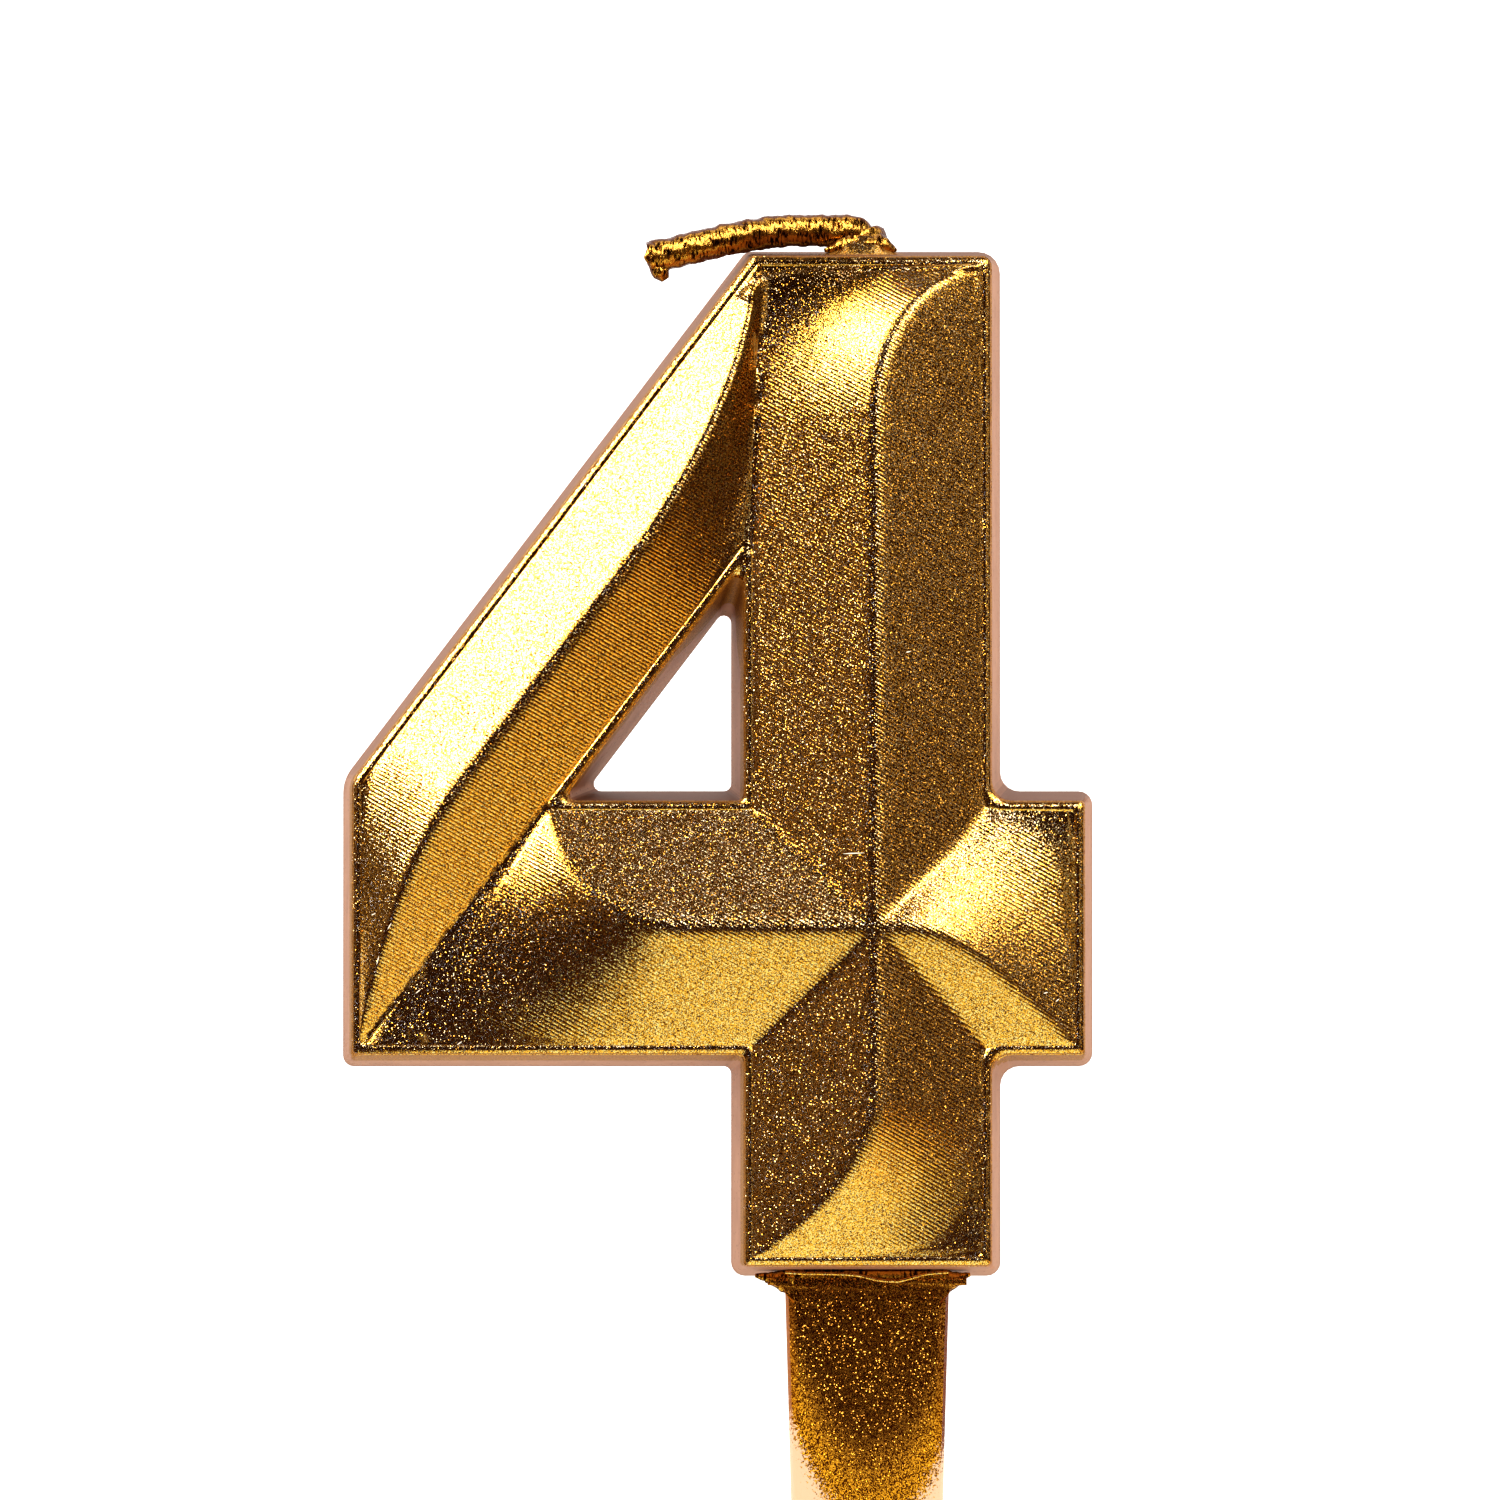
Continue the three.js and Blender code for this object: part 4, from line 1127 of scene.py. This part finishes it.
def pick():
    """The moulded pick, its edges rounded and the ends of its shoulder melted thin."""
    shape = joined_copy("pick")
    for corner in shape.verts:
        place = corner.co / MM
        on_end = SHOULDER_FOOT < place.z < SHOULDER_TOP - SHOULDER_CLEAR
        if on_end and abs(place.x) > SHOULDER_INNER:
            corner.co.z = (SHOULDER_TOP + (place.z - SHOULDER_TOP) * SHOULDER_MELT) * MM
    soften(shape, lambda place: PICK_BREAK)
    return shape


def add_camera():
    """The lens and the aim follow from the photograph's scale and from the point straight ahead."""
    data = bpy.data.cameras.new("camera")
    camera = bpy.data.objects.new("camera", data)
    bpy.context.scene.collection.objects.link(camera)
    bpy.context.scene.camera = camera
    place = Vector((CAMERA_X, -CAMERA_DISTANCE, CAMERA_Z)) * MM
    middle = PHOTO_SIZE / 2
    aim = Vector((
        CAMERA_X + (middle - PIXEL_X) / PIXELS_PER_MM,
        0,
        CAMERA_Z + (PIXEL_Z - middle) / PIXELS_PER_MM,
    )) * MM
    camera.location = place
    camera.rotation_euler = (aim - place).to_track_quat("-Z", "Y").to_euler()
    data.sensor_width = SENSOR
    data.lens = SENSOR * CAMERA_DISTANCE * PIXELS_PER_MM / PHOTO_SIZE
    data.clip_start = CLIP_M[0]
    data.clip_end = CLIP_M[1]


def add_light(name, turn, height, size, glow, colour):
    """A softbox turned from straight ahead, at an angle of height, with the glow its face shows."""
    data = bpy.data.lights.new(name, "AREA")
    data.color = colour
    data.shape = "RECTANGLE"
    data.size = size[0] * MM
    data.size_y = size[1] * MM
    data.energy = glow * math.pi * data.size * data.size_y
    light = bpy.data.objects.new(name, data)
    bpy.context.scene.collection.objects.link(light)
    turn = math.radians(turn)
    height = math.radians(height)
    level = math.cos(height)
    away = Vector((math.sin(turn) * level, -math.cos(turn) * level, math.sin(height)))
    light.location = Vector(LIGHT_AIM) * MM + away * LIGHT_DISTANCE * MM
    light.rotation_euler = (-away).to_track_quat("-Z", "Y").to_euler()
    light.visible_camera = False
    light.visible_diffuse = False
    light.visible_transmission = False


def flat_piece(name, corners, material):
    """A flat stage panel through four corners, in millimetres."""
    shape = bmesh.new()
    bmesh.ops.create_grid(shape, x_segments=1, y_segments=1, size=1)
    loop = shape.faces[:][0].verts[:]
    for vertex, corner in zip(loop, corners):
        vertex.co = Vector(corner) * MM
    mesh = bpy.data.meshes.new(name)
    shape.to_mesh(mesh)
    shape.free()
    mesh.materials.append(material)
    panel = bpy.data.objects.new(name, mesh)
    bpy.context.scene.collection.objects.link(panel)
    return panel


def add_card(name, corners, glow):
    """A card of even tone that only shows in reflections, as studio flags and bounce cards do."""
    material = new_material(name)
    light = add_node(material, "ShaderNodeEmission", {"Color": (*glow, 1.0), "Strength": 1.0})
    add_node(material, "ShaderNodeOutputMaterial", {"Surface": light.outputs[0]})
    card = flat_piece(name, corners, material)
    card.visible_camera = False
    card.visible_diffuse = False
    card.visible_transmission = False
    card.visible_volume_scatter = False
    card.visible_shadow = False


def upright_card(name, left, right, low, high, depth, glow):
    """A card that stands facing the candle from the front."""
    corners = [(left, low), (right, low), (right, high), (left, high)]
    add_card(name, [(x, depth, z) for x, z in corners], glow)


def side_card(name, aside, glow):
    """A card that stands beside the candle, from the front cards to behind it."""
    corners = [
        (FRONT_Y, FLOOR_Z), (SIDE_BACK_Y, FLOOR_Z), (SIDE_BACK_Y, SIDE_TOP), (FRONT_Y, SIDE_TOP),
    ]
    add_card(name, [(aside, y, z) for y, z in corners], glow)


def level_card(name, left, right, near, far, height, glow):
    """A card that lies flat under the candle or hangs over it."""
    corners = [(left, near), (right, near), (right, far), (left, far)]
    add_card(name, [(x, y, height) for x, y in corners], glow)


wax = metallised_wax("metallised_wax", bare_walls=True)
drips = metallised_wax("metallised_drips", bare_walls=False)
cotton = coated_cotton()
casting = numeral()
ground = BVHTree.FromBMesh(casting)
add_piece("numeral_casting", casting, wax, "gold_wax", "numeral_body")
add_piece("wick_braid", braided_wick(), cotton, "coated_cotton", "wick")
add_piece("wick_frays", rough_rods(WICK_FRAYS), cotton, "coated_cotton")
add_piece("wick_root", rough_rods(WICK_ROOT), cotton, "gold_wax")
add_piece("pick_moulding", pick(), sprayed_polypropylene(), "pick_plastic", "pick")
add_piece("wax_fillets", rough_rods(WAX_FILLETS), cotton, "gold_wax")
lip = bmesh.new()
lip_line = stretch([(x, LIP_Y, z) for x, z in LIP], LIP_STEPS)
add_tube(lip, lip_line, LIP_SIDES, lambda place, travelled, angle: LIP_RADIUS)
add_piece("wax_lip", finished(lip), drips, "gold_wax")
# Wax bared and bloomed by a scratch: pale, with a soft sheen.
bloomed_wax = plain_finish("bloomed_wax", "#F4E9D2", 0.5, 0.5)
add_piece("coat_nicks", nicks(ground), bloomed_wax, "gold_wax")

add_camera()
# One softbox whitens the facets that look up and left, the other glows in those up and right.
add_light("left_softbox", -45, 38.6, (640, 744), 5.4, (1, 1, 1.1))
add_light("right_softbox", 27, 31, (570, 600), 3.1, (1, 1, 1.2))
# Rolled stage paint: warm white and matt, so that it shows no reflections.
floor_paint = plain_finish("floor_paint", "#F4F2EE", 0.9, 0.1)
corners = [(-1, -1), (1, -1), (1, 1), (-1, 1)]
flat_piece("floor", [(x * FLOOR_REACH, y * FLOOR_REACH, FLOOR_Z) for x, y in corners], floor_paint)

# The flags in front give the facets their dark tones, and the strips glint in the right ones.
upright_card("left_flag", -CARD_REACH, -680, FLOOR_Z, FRONT_TOP, FRONT_Y, (0.145, 0.10, 0.075))
upright_card("middle_flag", -680, 330, FLOOR_Z, STRIP_TOP, FRONT_Y, (0.042, 0.021, 0.010))
upright_card("top_flag", -680, 900, STRIP_TOP, FRONT_TOP, FRONT_Y, (0.10, 0.075, 0.055))
upright_card("strip_light", 330, 900, FLOOR_Z, STRIP_TOP, FRONT_Y, (0.3, 0.27, 0.22))
upright_card("right_flag", 900, CARD_REACH, FLOOR_Z, FRONT_TOP, FRONT_Y, (0.12, 0.105, 0.13))
upright_card("right_strip", 1280, 1380, FLOOR_Z, STRIP_TOP, FRONT_Y + 1, (1.25, 1.22, 1.45))
side_card("left_side", -1500, (0.16, 0.12, 0.08))
side_card("right_side", 1500, (0.12, 0.09, 0.06))
level_card(
    "ceiling", -CARD_REACH, CARD_REACH, FRONT_Y, SIDE_BACK_Y, CEILING_Z, (0.15, 0.12, 0.09),
)

# The table's bright and tan parts light the facets that look down, and the rest keeps them dark.
for name, left, right, near, far, glow in [
    ("far_left_table", -CARD_REACH, -260, FRONT_Y, TABLE_FRONT_Y, (0.20, 0.15, 0.10)),
    ("front_table", -260, CARD_REACH, FRONT_Y, TABLE_FRONT_Y, (0.06, 0.03, 0.013)),
    ("left_table", -CARD_REACH, -52, TABLE_FRONT_Y, TABLE_BACK_Y, (0.06, 0.03, 0.013)),
    ("bright_table", -52, 70, TABLE_FRONT_Y, TABLE_BACK_Y, (0.93, 0.99, 0.80)),
    ("tan_table", 70, 122, TABLE_FRONT_Y, TABLE_BACK_Y, (0.95, 0.70, 0.30)),
    ("right_table", 122, CARD_REACH, TABLE_FRONT_Y, TABLE_BACK_Y, (0.14, 0.11, 0.07)),
]:
    level_card(name, left, right, near, far, TABLE_Z, glow)

world = bpy.data.worlds.new("world")
bpy.context.scene.world = world
world.use_nodes = True
backdrop = world.node_tree.nodes["Background"].inputs
backdrop["Color"].default_value = (1, 1, 1, 1)
backdrop["Strength"].default_value = WORLD_GLOW
bpy.context.scene.view_settings.view_transform = "Standard"
bpy.context.scene.view_settings.look = "High Contrast"
